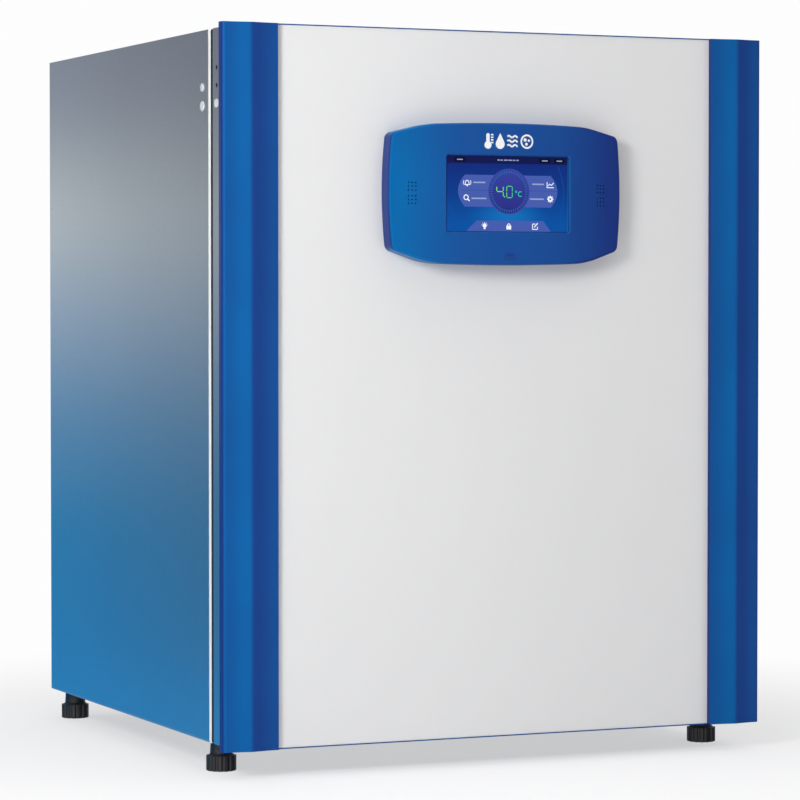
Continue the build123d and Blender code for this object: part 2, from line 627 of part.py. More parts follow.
with BuildPart() as cabinet_hinge_leaves:
    for shift in HINGE_SHIFTS:
        leaf_z = [z + shift for z in CABINET_LEAF_Z]
        knuckle_z = [z + shift for z in CABINET_KNUCKLE_Z]
        slab(LEAF_X, CABINET_LEAF_Y, leaf_z)
        slab(LEAF_X, (HINGE_AXIS[1], CABINET_LEAF_Y[0]), knuckle_z)
        rod_z(KNUCKLE_RADIUS, HINGE_AXIS, knuckle_z)
        rod_z(PIN_RADIUS, HINGE_AXIS, (knuckle_z[0] + 2, knuckle_z[1] + 1), mode=Mode.SUBTRACT)
        for z in CABINET_SCREW_Z:
            start = (LEAF_X[0] - 1, CABINET_SCREW_Y, z + shift)
            rod(SCREW_HOLE, start, (LEAF_X[1] + 1, CABINET_SCREW_Y, z + shift), mode=Mode.SUBTRACT)
save(cabinet_hinge_leaves.part, "cabinet_hinge_leaves")

with BuildPart() as door_hinge_leaves:
    for shift in HINGE_SHIFTS:
        leaf_z = [z + shift for z in DOOR_KNUCKLE_Z]
        slab(LEAF_X, DOOR_LEAF_Y, leaf_z)
        rod_z(KNUCKLE_RADIUS, HINGE_AXIS, leaf_z)
        bore_z = (leaf_z[0] - 1, leaf_z[1] - 2)
        rod_z(PIN_RADIUS + RUNNING_GAP, HINGE_AXIS, bore_z, mode=Mode.SUBTRACT)
        for z in DOOR_SCREW_Z:
            start = (LEAF_X[0] - 1, DOOR_SCREW_Y, z + shift)
            rod(SCREW_HOLE, start, (LEAF_X[1] + 1, DOOR_SCREW_Y, z + shift), mode=Mode.SUBTRACT)
save(door_hinge_leaves.part, "door_hinge_leaves")

with BuildPart() as hinge_pins:
    for shift in HINGE_SHIFTS:
        pin_z = (CABINET_KNUCKLE_Z[0] + shift + 2, DOOR_KNUCKLE_Z[1] + shift - 4)
        rod_z(PIN_RADIUS, HINGE_AXIS, pin_z)
    chamfer(hinge_pins.edges().group_by(Axis.Z)[-1], 0.6)
save(hinge_pins.part, "hinge_pins")


def leaf_screws(y, heights):
    """Button-head screws that hold a hinge leaf on the right-hand side."""
    for shift in HINGE_SHIFTS:
        for z in heights:
            rod(SCREW_HOLE, (SIDE_INSIDE - 0.8, y, z + shift), (LEAF_X[1], y, z + shift))
            rod(3.8, (LEAF_X[1], y, z + shift), (LEAF_X[1] + 2.0, y, z + shift))
    fillet(faces().sort_by(Axis.X)[-4:].edges(), 1.2)


with BuildPart() as cabinet_hinge_screws:
    leaf_screws(CABINET_SCREW_Y, CABINET_SCREW_Z)
save(cabinet_hinge_screws.part, "cabinet_hinge_screws")

with BuildPart() as door_hinge_screws:
    leaf_screws(DOOR_SCREW_Y, DOOR_SCREW_Z)
save(door_hinge_screws.part, "door_hinge_screws")


def hole_plug(head_radius, y, z):
    """A domed snap-in plug in the left-hand side."""
    outside = CABINET_X[0]
    rod(PLUG_STEM, (outside, y, z), (outside + SHEET + 0.8, y, z))
    rod(head_radius, (outside - 1.4, y, z), (outside, y, z))


with BuildPart() as cabinet_hole_plugs:
    for head_radius, z in zip((5.0, 6.0), CABINET_SCREW_Z):
        hole_plug(head_radius, CABINET_SCREW_Y, z)
    fillet(faces().sort_by(Axis.X)[:2].edges(), 1.0)
save(cabinet_hole_plugs.part, "cabinet_hole_plugs")

# ---------------------------------------------------------------- outer door

with BuildPart() as door_pan:
    pan_inside_x = (CABINET_X[0] + DOOR_SHEET, CABINET_X[1] - DOOR_SHEET)
    pan_inside_z = (CABINET_Z[0] + DOOR_SHEET, CABINET_Z[1] - DOOR_SHEET)
    slab(CABINET_X, (PAN_FRONT, PAN_BACK), CABINET_Z)
    slab(pan_inside_x, (PAN_FRONT + DOOR_SHEET, PAN_BACK + 1), pan_inside_z, mode=Mode.SUBTRACT)
    hinge_notches((NOTCH_Y[0], PAN_BACK + 1))
    for z in DOOR_SCREW_Z:
        start = (CABINET_X[0] - 1, DOOR_SCREW_Y, z)
        rod(SPARE_HOLE, start, (CABINET_X[0] + 3, DOOR_SCREW_Y, z), mode=Mode.SUBTRACT)
        for shift in HINGE_SHIFTS:
            start = (CABINET_X[1] - 3, DOOR_SCREW_Y, z + shift)
            rod(SCREW_HOLE, start, (CABINET_X[1] + 1, DOOR_SCREW_Y, z + shift), mode=Mode.SUBTRACT)
    start = (CABINET_X[0] - 1, DOOR_SCREW_Y, DOOR_PLUG_Z)
    rod(PLUG_STEM, start, (CABINET_X[0] + 3, DOOR_SCREW_Y, DOOR_PLUG_Z), mode=Mode.SUBTRACT)
save(door_pan.part, "door_pan")

with BuildPart() as door_hole_plug:
    hole_plug(5.25, DOOR_SCREW_Y, DOOR_PLUG_Z)
    fillet(faces().sort_by(Axis.X)[0].edges(), 1.0)
save(door_hole_plug.part, "door_hole_plug")

with BuildPart() as door_inner_liner:
    liner_x = (CABINET_X[0] + SHEET, CABINET_X[1] - SHEET)
    liner_z = (CABINET_Z[0] + SHEET, CABINET_Z[1] - SHEET)
    slab(liner_x, (PAN_BACK - SHEET, PAN_BACK), liner_z)
    shell_size = [side + 2 * SHEET for side in RECESS]
    shell_y = (RECESS_BOTTOM - SHEET, PAN_BACK)
    upright_plate(shell_size, RECESS_RADIUS + SHEET, (0, CENTRE_Z), shell_y)
    recess_y = (RECESS_BOTTOM, PAN_BACK + 1)
    upright_plate(RECESS, RECESS_RADIUS, (0, CENTRE_Z), recess_y, mode=Mode.SUBTRACT)
    hinge_notches((NOTCH_Y[0], PAN_BACK + 1))
save(door_inner_liner.part, "door_inner_liner")

with BuildPart() as door_insulation:
    foam_x = (liner_x[0] + 0.5, liner_x[1] - 0.5)
    foam_z = (liner_z[0], liner_z[1])
    foam_y = (PAN_FRONT + DOOR_SHEET + 0.1, PAN_BACK - SHEET - 0.1)
    slab(foam_x, foam_y, foam_z)
    pocket = [side + 2 * SHEET + 0.4 for side in RECESS]
    pocket_y = (RECESS_BOTTOM - SHEET - 0.2, PAN_BACK)
    upright_plate(pocket, RECESS_RADIUS + SHEET, (0, CENTRE_Z), pocket_y, mode=Mode.SUBTRACT)
    hinge_notches((NOTCH_Y[0], PAN_BACK))
    # room behind the hinge screws of either hand
    for shift in HINGE_SHIFTS:
        screws_z = (DOOR_PLUG_Z + shift - 8, DOOR_SCREW_Z[0] + shift + 8)
        for side in (-1, 1):
            screws_x = (side * (SIDE_INSIDE - 14), side * SIDE_INSIDE)
            slab(screws_x, (DOOR_SCREW_Y - 6, PAN_BACK), screws_z, mode=Mode.SUBTRACT)
save(door_insulation.part, "door_insulation")

with BuildPart() as door_gasket:
    gasket_y = (PAN_BACK, CABINET_Y[0] - GAP)
    upright_ring(GASKET_OUTER, GASKET_WIDTH, GASKET_RADIUS, (0, CENTRE_Z), gasket_y)
    fillet(door_gasket.faces().sort_by(Axis.Y)[-1].edges(), 1.5)
    hinge_notches((gasket_y[0] - 1, gasket_y[1] + 1))
save(door_gasket.part, "door_gasket")

with BuildPart() as door_front_panel:
    white_x = (-TRIM_INNER + 0.2, TRIM_INNER - 0.2)
    white_z = (DOOR_Z[0] + RAIL_THICK + 0.2, DOOR_Z[1] - RAIL_THICK - 0.2)
    slab(white_x, (WHITE_FRONT, PAN_FRONT), white_z)
    hollow_x = (white_x[0] + SHEET, white_x[1] - SHEET)
    hollow_z = (white_z[0] + SHEET, white_z[1] - SHEET)
    slab(hollow_x, (WHITE_FRONT + SHEET, PAN_FRONT + 1), hollow_z, mode=Mode.SUBTRACT)
save(door_front_panel.part, "door_front_panel")

with BuildPart() as door_edge_rails:
    foot_y = (PAN_FRONT, PAN_FRONT + 6)
    slab(white_x, (WHITE_FRONT - 1, foot_y[1]), (DOOR_Z[1] - RAIL_THICK, DOOR_Z[1]))
    slab(white_x, foot_y, (CABINET_Z[1], DOOR_Z[1] - RAIL_THICK))
    slab(white_x, (WHITE_FRONT - 1, foot_y[1]), (DOOR_Z[0], DOOR_Z[0] + RAIL_THICK))
    slab(white_x, foot_y, (DOOR_Z[0] + RAIL_THICK, CABINET_Z[0]))
save(door_edge_rails.part, "door_edge_rails")


def trim_section(side):
    """Trim profile in plan: two hollow-ground facets that meet in a soft ridge, and a rounded edge."""
    ridge_x, ridge_y = TRIM_RIDGE
    outer_x = DOOR_X[1]
    corner_start = (side * (outer_x - TRIM_CORNER), TRIM_EDGE)
    corner_end = (side * outer_x, TRIM_EDGE + TRIM_CORNER)
    lip = (side * TRIM_INNER, TRIM_LIP)
    ridge = (side * ridge_x, ridge_y)
    inner_middle = (side * (TRIM_INNER + ridge_x) / 2, (TRIM_LIP + ridge_y) / 2 + TRIM_SAG)
    outer_middle = (side * (ridge_x + outer_x - TRIM_CORNER) / 2, (ridge_y + TRIM_EDGE) / 2 + TRIM_SAG)
    bow = TRIM_CORNER * (1 - 0.7071)
    corner_middle = (side * (outer_x - bow), TRIM_EDGE + bow)
    with BuildLine() as outline:
        Line((side * TRIM_INNER, PAN_FRONT), lip)
        ThreePointArc(lip, inner_middle, ridge)
        ThreePointArc(ridge, outer_middle, corner_start)
        ThreePointArc(corner_start, corner_middle, corner_end)
        Polyline(
            corner_end,
            (side * outer_x, TRIM_RETURN),
            (side * CABINET_X[1], TRIM_RETURN),
            (side * CABINET_X[1], PAN_FRONT),
            (side * TRIM_INNER, PAN_FRONT),
        )
    make_face(outline.edges())


for side, name in ((-1, "left"), (1, "right")):
    with BuildPart() as trim_strip:
        with BuildSketch(Plane.XY.offset(DOOR_Z[0])) as trim_profile:
            trim_section(side)
        extrude(amount=DOOR_Z[1] - DOOR_Z[0])
        ridge_edges = trim_strip.edges().filter_by(Axis.Z).sort_by(Axis.Y)[0]
        fillet(ridge_edges, TRIM_RIDGE_RADIUS)
        for pocket_x in ((TRIM_INNER + 4, TRIM_RIDGE[0] - 3), (TRIM_RIDGE[0] + 3, CABINET_X[1] - 4)):
            pocket_span = (side * pocket_x[0], side * pocket_x[1])
            pocket_z = (DOOR_Z[0] + TRIM_END, DOOR_Z[1] - TRIM_END)
            pocket_y = (TRIM_LIP + TRIM_WALL, PAN_FRONT + 1)
            slab(pocket_span, pocket_y, pocket_z, mode=Mode.SUBTRACT)
    save(trim_strip.part, f"{name}_trim_strip")

# ---------------------------------------------------------------- inner glass door

with BuildPart() as inner_door_glass:
    upright_plate(GLASS_SIZE, GLASS_RADIUS, (0, CENTRE_Z), GLASS_Y)
    chamfer(inner_door_glass.faces().sort_by(Axis.Y)[0].edges(), 0.5)
save(inner_door_glass.part, "inner_door_glass")

with BuildPart() as inner_door_hinges:
    for centre in INNER_HINGE_Z:
        upper = (centre + GAP / 2, centre + INNER_HALF)
        slab((GLASS_SIZE[0] / 2 - 26, INNER_AXIS[0]), (GLASS_Y[0] - 2, GLASS_Y[0]), upper)
        rod_z(INNER_KNUCKLE, INNER_AXIS, upper)
        bore_z = (upper[0] - 1, upper[1] - 1.5)
        rod_z(INNER_PIN + RUNNING_GAP, INNER_AXIS, bore_z, mode=Mode.SUBTRACT)
save(inner_door_hinges.part, "inner_door_hinges")

with BuildPart() as inner_door_brackets:
    for centre in INNER_HINGE_Z:
        lower = (centre - INNER_HALF, centre - GAP / 2)
        plate_x = (INNER_AXIS[0] + 6, INNER_AXIS[0] + 30)
        plate_y = (CABINET_Y[0] - 2, CABINET_Y[0])
        slab(plate_x, plate_y, (centre - INNER_HALF, centre + INNER_HALF))
        slab((INNER_AXIS[0], plate_x[0] + 4), (INNER_AXIS[1], plate_y[0]), lower)
        rod_z(INNER_KNUCKLE, INNER_AXIS, lower)
        rod_z(INNER_PIN, INNER_AXIS, (lower[0] + 2, centre + INNER_HALF - 3))
save(inner_door_brackets.part, "inner_door_brackets")

with BuildPart() as inner_door_knob:
    knob_place = (-235.0, CENTRE_Z)
    rod_y(6.0, knob_place, (GLASS_Y[0] - 7, GLASS_Y[0]))
    rod_y(12.0, knob_place, (GLASS_Y[0] - 12, GLASS_Y[0] - 6))
    fillet(inner_door_knob.edges().group_by(Axis.Y)[0], 2.0)
save(inner_door_knob.part, "inner_door_knob")

with BuildPart() as catch_plate:
    upright_plate((40.0, 24.0), 3.0, (-270.0, CENTRE_Z), (GLASS_Y[0] - SHEET, GLASS_Y[0]))
save(catch_plate.part, "catch_plate")

with BuildPart() as catch_magnet:
    upright_plate((14.0, 24.0), 2.0, (-283.0, CENTRE_Z), (GLASS_Y[0] + GAP, CABINET_Y[0]))
save(catch_magnet.part, "catch_magnet")

# ---------------------------------------------------------------- control panel


def mirrored(spot):
    """The same place on the panel's other half."""
    return (-spot[0], spot[1])


def panel_outline(inset=0.0):
    """Barrel outline of the control panel, in its own plane, drawn in by an inset."""
    with BuildLine() as outline:
        top = ThreePointArc(mirrored(SHOULDER), (0, PANEL_CROWN), SHOULDER)
        Line(SHOULDER, CORNER)
        ThreePointArc(CORNER, PANEL_SIDE, LOWER_CORNER)
        Line(LOWER_CORNER, LOWER_SHOULDER)
        ThreePointArc(LOWER_SHOULDER, (0, LOWER_CROWN), mirrored(LOWER_SHOULDER))
        Line(mirrored(LOWER_SHOULDER), mirrored(LOWER_CORNER))
        ThreePointArc(mirrored(LOWER_CORNER), mirrored(PANEL_SIDE), mirrored(CORNER))
        Line(mirrored(CORNER), top @ 0)
    make_face(outline.edges())
    shoulders = vertices().group_by(lambda corner: abs(corner.X))[0]
    fillet(shoulders, SHOULDER_RADIUS)
    corners = [spot for spot in vertices() if abs(abs(spot.X) - CORNER[0]) < 0.01]
    fillet(corners, CORNER_RADIUS)
    if inset:
        offset(amount=-inset)


PANEL_PLANE = Plane(origin=(0, WHITE_FRONT, PANEL_Z), x_dir=(1, 0, 0), z_dir=(0, -1, 0))
BEZEL_BACK_GAP = 0.3

with BuildPart() as bezel_hollow:
    with BuildSketch(PANEL_PLANE) as hollow_outline:
        panel_outline(BEZEL_WALL)
    extrude(amount=WHITE_FRONT - PANEL_FACE)
    with Locations((0, PANEL_FACE + FACE_RADIUS, PANEL_Z)):
        Cylinder(FACE_RADIUS - BEZEL_FACE, 4 * PANEL_CROWN, mode=Mode.INTERSECT)

with BuildPart() as panel_front_bezel:
    with BuildSketch(PANEL_PLANE.offset(BEZEL_BACK_GAP)) as bezel_outline:
        panel_outline()
    extrude(amount=WHITE_FRONT - PANEL_FACE)
    with Locations((0, PANEL_FACE + FACE_RADIUS, PANEL_Z)):
        Cylinder(FACE_RADIUS, 4 * PANEL_CROWN, mode=Mode.INTERSECT)
    front_face = panel_front_bezel.faces().sort_by(Axis.Y)[0]
    fillet(front_face.edges(), 3.0)
    add(bezel_hollow.part, mode=Mode.SUBTRACT)
    window_y = (PANEL_FACE - 1, PANEL_FACE + 12)
    upright_plate(SCREEN, 3.0, (0, SCREEN_Z), window_y, mode=Mode.SUBTRACT)
    window_wires = panel_front_bezel.faces().sort_by(Axis.Y)[0].inner_wires()
    chamfer([edge for wire in window_wires for edge in wire.edges()], WINDOW_BEVEL)
    with BuildSketch(Plane.XZ.offset(-PANEL_FACE)) as sound_holes:
        for side in (-1, 1):
            for half in (-1, 1):
                group_z = half * (SOUND_PITCH[1] + SOUND_GROUP / 2)
                with Locations((side * SOUND_X, SCREEN_Z + group_z)):
                    with GridLocations(*SOUND_PITCH, 3, 3):
                        Circle(SOUND_RADIUS)
    extrude(amount=-16, mode=Mode.SUBTRACT)
    slot_x = (-USB_SIZE[0] / 2 - GAP, USB_SIZE[0] / 2 + GAP)
    slot_y = (USB_Y - USB_SIZE[1] / 2 - GAP, USB_Y + USB_SIZE[1] / 2 + GAP)
    slot_z = (PANEL_Z + LOWER_CROWN - 1, PANEL_Z + LOWER_CROWN + 4)
    slab(slot_x, slot_y, slot_z, mode=Mode.SUBTRACT)
save(panel_front_bezel.part, "panel_front_bezel")

with BuildPart() as panel_rear_housing:
    with BuildSketch(PANEL_PLANE) as housing_outline:
        panel_outline(BEZEL_WALL + GAP)
    extrude(amount=3.0)
    with BuildSketch(PANEL_PLANE.offset(3.0)) as posts:
        with GridLocations(200, 110, 2, 2):
            Circle(4.0)
    extrude(amount=15.0)
save(panel_rear_housing.part, "panel_rear_housing")

with BuildPart() as touch_screen:
    glass_size = (SCREEN[0] - 0.4, SCREEN[1] - 0.4)
    upright_plate(glass_size, 2.8, (0, SCREEN_Z), (SCREEN_FRONT, SCREEN_FRONT + SCREEN_THICK))
save(touch_screen.part, "touch_screen")

with BuildPart() as display_board:
    board_front = SCREEN_FRONT + SCREEN_THICK + GAP
    upright_plate((150.0, 84.0), 2.0, (0, SCREEN_Z), (board_front, board_front + 1.6))
    for x, z, width, height in ((-45, 15, 24, 24), (20, -18, 40, 12), (50, 20, 18, 30)):
        chip_z = (SCREEN_Z + z - height / 2, SCREEN_Z + z + height / 2)
        slab((x - width / 2, x + width / 2), (board_front + 1.6, board_front + 4), chip_z)
save(display_board.part, "display_board")

with BuildPart() as usb_socket:
    socket_bottom = PANEL_Z + LOWER_CROWN + 0.4
    socket_x = (-USB_SIZE[0] / 2, USB_SIZE[0] / 2)
    socket_y = (USB_Y - USB_SIZE[1] / 2, USB_Y + USB_SIZE[1] / 2)
    slab(socket_x, socket_y, (socket_bottom, socket_bottom + USB_SIZE[2]))
    hollow_x = (socket_x[0] + 0.4, socket_x[1] - 0.4)
    hollow_y = (socket_y[0] + 0.4, socket_y[1] - 0.4)
    slab(hollow_x, hollow_y, (socket_bottom - 1, socket_bottom + 11), mode=Mode.SUBTRACT)
    slab((-5.5, 5.5), (USB_Y + 0.2, USB_Y + 1.8), (socket_bottom + 1.5, socket_bottom + 12))
save(usb_socket.part, "usb_socket")
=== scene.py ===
import math

import bmesh
import bpy
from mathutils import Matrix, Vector


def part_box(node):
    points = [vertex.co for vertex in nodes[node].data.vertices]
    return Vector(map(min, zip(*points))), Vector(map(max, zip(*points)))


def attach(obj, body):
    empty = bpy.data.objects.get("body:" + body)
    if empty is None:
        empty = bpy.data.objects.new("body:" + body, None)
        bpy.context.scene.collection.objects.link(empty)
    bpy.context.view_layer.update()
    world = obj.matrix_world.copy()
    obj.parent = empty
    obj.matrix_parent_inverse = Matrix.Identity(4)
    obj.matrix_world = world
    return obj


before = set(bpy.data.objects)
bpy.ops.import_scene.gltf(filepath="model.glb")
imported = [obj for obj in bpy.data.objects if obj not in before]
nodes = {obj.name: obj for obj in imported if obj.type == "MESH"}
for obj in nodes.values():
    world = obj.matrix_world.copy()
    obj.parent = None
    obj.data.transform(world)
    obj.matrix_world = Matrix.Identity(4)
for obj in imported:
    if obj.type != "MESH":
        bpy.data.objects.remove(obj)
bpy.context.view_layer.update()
MM = 0.001


# ---------------------------------------------------------------- node trees

# A Mix node has a set of sockets for each type of data: these are the ones for colours.
MIX_FACTOR, MIX_FIRST, MIX_SECOND, MIX_RESULT = 0, 6, 7, 2


def rgba(color):
    return (*color, 1.0)


def shaded(color, part):
    """A colour at a part of its brightness."""
    return [channel * part for channel in color]


class Nodes:
    """Short calls that add nodes to one tree and link them."""

    def __init__(self, tree):
        self.tree = tree

    def join(self, value, socket):
        """Link a socket, or set a plain value."""
        if isinstance(value, bpy.types.NodeSocket):
            self.tree.links.new(value, socket)
        else:
            socket.default_value = value

    def add(self, kind, inputs=None, **settings):
        node = self.tree.nodes.new("ShaderNode" + kind)
        for key, value in settings.items():
            setattr(node, key, value)
        for key, value in (inputs or {}).items():
            self.join(value, node.inputs[key])
        return node

    def spread(self, value, low, high, smooth=True):
        """0 at low and 1 at high."""
        kind = "SMOOTHSTEP" if smooth else "LINEAR"
        inputs = {"Value": value, "From Min": low, "From Max": high}
        return self.add("MapRange", inputs, interpolation_type=kind).outputs["Result"]

    def mix(self, factor, first, second, blend="MIX"):
        """Blend two colours, each a socket or a plain colour."""
        node = self.add("Mix", data_type="RGBA", blend_type=blend)
        self.join(factor, node.inputs[MIX_FACTOR])
        for place, color in ((MIX_FIRST, first), (MIX_SECOND, second)):
            plain = not isinstance(color, bpy.types.NodeSocket)
            self.join(rgba(color) if plain else color, node.inputs[place])
        return node.outputs[MIX_RESULT]

    def ramp(self, factor, stops):
        """A colour ramp from a list of (place, colour), its two ends first."""
        node = self.add("ValToRGB", {"Fac": factor})
        elements = node.color_ramp.elements
        for index, (place, color) in enumerate(stops):
            element = elements[index] if index < 2 else elements.new(place)
            element.position, element.color = place, rgba(color)
        return node.outputs["Color"]


def link_object(name, data):
    """Put a new object into the scene."""
    item = bpy.data.objects.new(name, data)
    bpy.context.scene.collection.objects.link(item)
    return item


# ---------------------------------------------------------------- camera and light

CAMERA_PLACE = Vector((-1.7301, -3.94, 0.5589))
CAMERA_YAW = math.radians(23.884)
CAMERA_PITCH = math.radians(-1.702)
CAMERA_LENS = 149.53
CAMERA_REACH = 50
BACKGROUND = (0.985, 0.985, 0.99)

# What reflections meet: a pale front left, a dark front right, and greys behind and overhead.
MIRRORED_LEFT, MIRRORED_RIGHT = (1.0, 1.0, 1.0), (0.10, 0.10, 0.16)
MIRRORED_BEHIND_RIGHT, MIRRORED_BEHIND_LEFT = (0.42, 0.43, 0.46), (0.22, 0.25, 0.30)
MIRRORED_ABOVE = (0.6, 0.6, 0.62)
# What matt surfaces get from the world.
EVEN_LOW, EVEN_HIGH = (0.43, 0.43, 0.43), (0.58, 0.58, 0.59)

FLOOR_REACH = 30
FLOOR_TONE = (0.95, 0.95, 0.95)
FLOOR_FADE = {"From Min": 0.3, "From Max": 1.2, "To Min": 0.5, "To Max": 1.0}

# The cards behind the left side: blue low down, palest at half height and grey at the top.
CARD_TOP = 1.3
CARD_TONES = [(0.0, (0.0, 0.34, 0.82)), (1.0, (0.20, 0.23, 0.30)), (0.17, (0.0, 0.33, 0.74)),
              (0.30, (0.16, 0.44, 0.76)), (0.42, (0.52, 0.70, 0.90)), (0.53, (0.90, 0.98, 1.0)),
              (0.66, (0.44, 0.50, 0.60))]
CARD_FADE, CARD_FAR_TONE = (-0.55, -1.05), (0.46, 0.45, 0.44)
CARD_DEPTH = 1.0


def add_camera():
    """A long lens from the front left, almost level."""
    data = bpy.data.cameras.new("camera")
    data.lens = CAMERA_LENS
    data.clip_end = CAMERA_REACH
    camera = link_object("camera", data)
    camera.location = CAMERA_PLACE
    camera.rotation_euler = (math.pi / 2 + CAMERA_PITCH, 0, -CAMERA_YAW)
    bpy.context.scene.camera = camera


def area_light(name, place, target, size, power):
    """A square soft box that faces a target and doesn't show itself."""
    data = bpy.data.lights.new(name, "AREA")
    data.shape = "RECTANGLE"
    data.size = data.size_y = size
    data.energy = power
    light = link_object(name, data)
    light.location = place
    direction = Vector(target) - Vector(place)
    light.rotation_euler = direction.to_track_quat("-Z", "Y").to_euler()
    light.visible_camera = False


def add_world():
    """Even light for matt surfaces, and a room of several tones for glossy ones."""
    world = bpy.data.worlds.new("studio")
    world.use_nodes = True
    bpy.context.scene.world = world
    build = Nodes(world.node_tree)
    direction = build.add("SeparateXYZ", {"Vector": build.add("TexCoord").outputs["Generated"]})
    across, back, up = direction.outputs
    front = build.mix(build.spread(across, -0.35, 0.55), MIRRORED_LEFT, MIRRORED_RIGHT)
    behind = build.mix(build.spread(across, 0.15, -0.1), MIRRORED_BEHIND_RIGHT, MIRRORED_BEHIND_LEFT)
    around = build.mix(build.spread(back, -0.25, 0.25), front, behind)
    mirrored = build.mix(build.spread(up, 0.35, 0.8), around, MIRRORED_ABOVE)
    even = build.mix(build.spread(up, -0.2, 0.9), EVEN_LOW, EVEN_HIGH)
    path = build.add("LightPath")
    light = build.mix(path.outputs["Is Glossy Ray"], even, mirrored)
    seen = build.mix(path.outputs["Is Camera Ray"], light, BACKGROUND)
    build.join(seen, world.node_tree.nodes["Background"].inputs["Color"])


def stage_plane(name, corners):
    """A flat piece of the studio, with a new material."""
    mesh = bpy.data.meshes.new(name)
    mesh.from_pydata(corners, [], [tuple(range(len(corners)))])
    plane = link_object(name, mesh)
    material = bpy.data.materials.new(name)
    material.use_nodes = True
    mesh.materials.append(material)
    return plane, Nodes(material.node_tree)


def show(build, shader):
    """Make a shader the surface of its material."""
    build.join(shader.outputs[0], build.tree.nodes["Material Output"].inputs["Surface"])


def add_floor():
    """A pale floor that fades into the background, for the camera only."""
    floor, build = stage_plane("floor", [(x * FLOOR_REACH, y * FLOOR_REACH, 0)
                                         for x, y in ((-1, -1), (1, -1), (1, 1), (-1, 1))])
    floor.visible_glossy = False
    shader = build.tree.nodes["Principled BSDF"]
    shader.inputs["Base Color"].default_value = rgba(FLOOR_TONE)
    shader.inputs["Roughness"].default_value = 0.9
    shader.inputs["Specular IOR Level"].default_value = 0.0
    glow = build.add("Emission", {"Color": rgba(BACKGROUND)})
    radius = build.add("VectorMath", {0: build.add("TexCoord").outputs["Object"]}, operation="LENGTH")
    far = build.add("MapRange", {"Value": radius.outputs["Value"], **FLOOR_FADE},
                    interpolation_type="SMOOTHSTEP")
    camera_ray = build.add("LightPath").outputs["Is Camera Ray"]
    seen = build.add("Math", {0: far.outputs["Result"], 1: camera_ray}, operation="MULTIPLY")
    show(build, build.add("MixShader", {0: seen.outputs[0], 1: shader.outputs[0], 2: glow.outputs[0]}))


def mirror_card(name, corners):
    """A card that only reflections see."""
    card, build = stage_plane(name, corners)
    card.visible_camera = card.visible_diffuse = card.visible_shadow = card.visible_transmission = False
    place = build.add("SeparateXYZ", {"Vector": build.add("NewGeometry").outputs["Position"]})
    color = build.ramp(build.spread(place.outputs["Z"], 0.0, CARD_TOP, smooth=False), CARD_TONES)
    dim = build.mix(build.spread(place.outputs["X"], *CARD_FADE), (1.0, 1.0, 1.0), CARD_FAR_TONE)
    show(build, build.add("Emission", {"Color": build.mix(1.0, color, dim, "MULTIPLY")}))


def add_studio():
    """World, floor, cards and soft boxes."""
    add_world()
    add_floor()
    left, right, front, level = -1.1, -0.38, -0.25, 0.002
    mirror_card("floor_card", [(left, front, level), (right, front, level),
                               (right, CARD_DEPTH, level), (left, CARD_DEPTH, level)])
    left, right, low = -2.2, -0.2, 0.003
    mirror_card("rear_card", [(left, CARD_DEPTH, low), (right, CARD_DEPTH, low),
                              (right, CARD_DEPTH, CARD_TOP), (left, CARD_DEPTH, CARD_TOP)])
    area_light("key", place=(-1.7, -1.5, 1.2), target=(0, -0.33, 0.5), size=0.6, power=25)
    area_light("top", place=(0.2, -0.4, 2.8), target=(0, 0, 0.8), size=2.0, power=12)


# ---------------------------------------------------------------- materials

PLASTIC_IOR = 1.3
BLUE_SHINE = (0.06, 0.42, 1.0, 1.0)
# Dark navy painted as shade on surfaces that face left.
BLUE_PAINTED_SIDE_SHADE = (0.010, 0.026, 0.17)


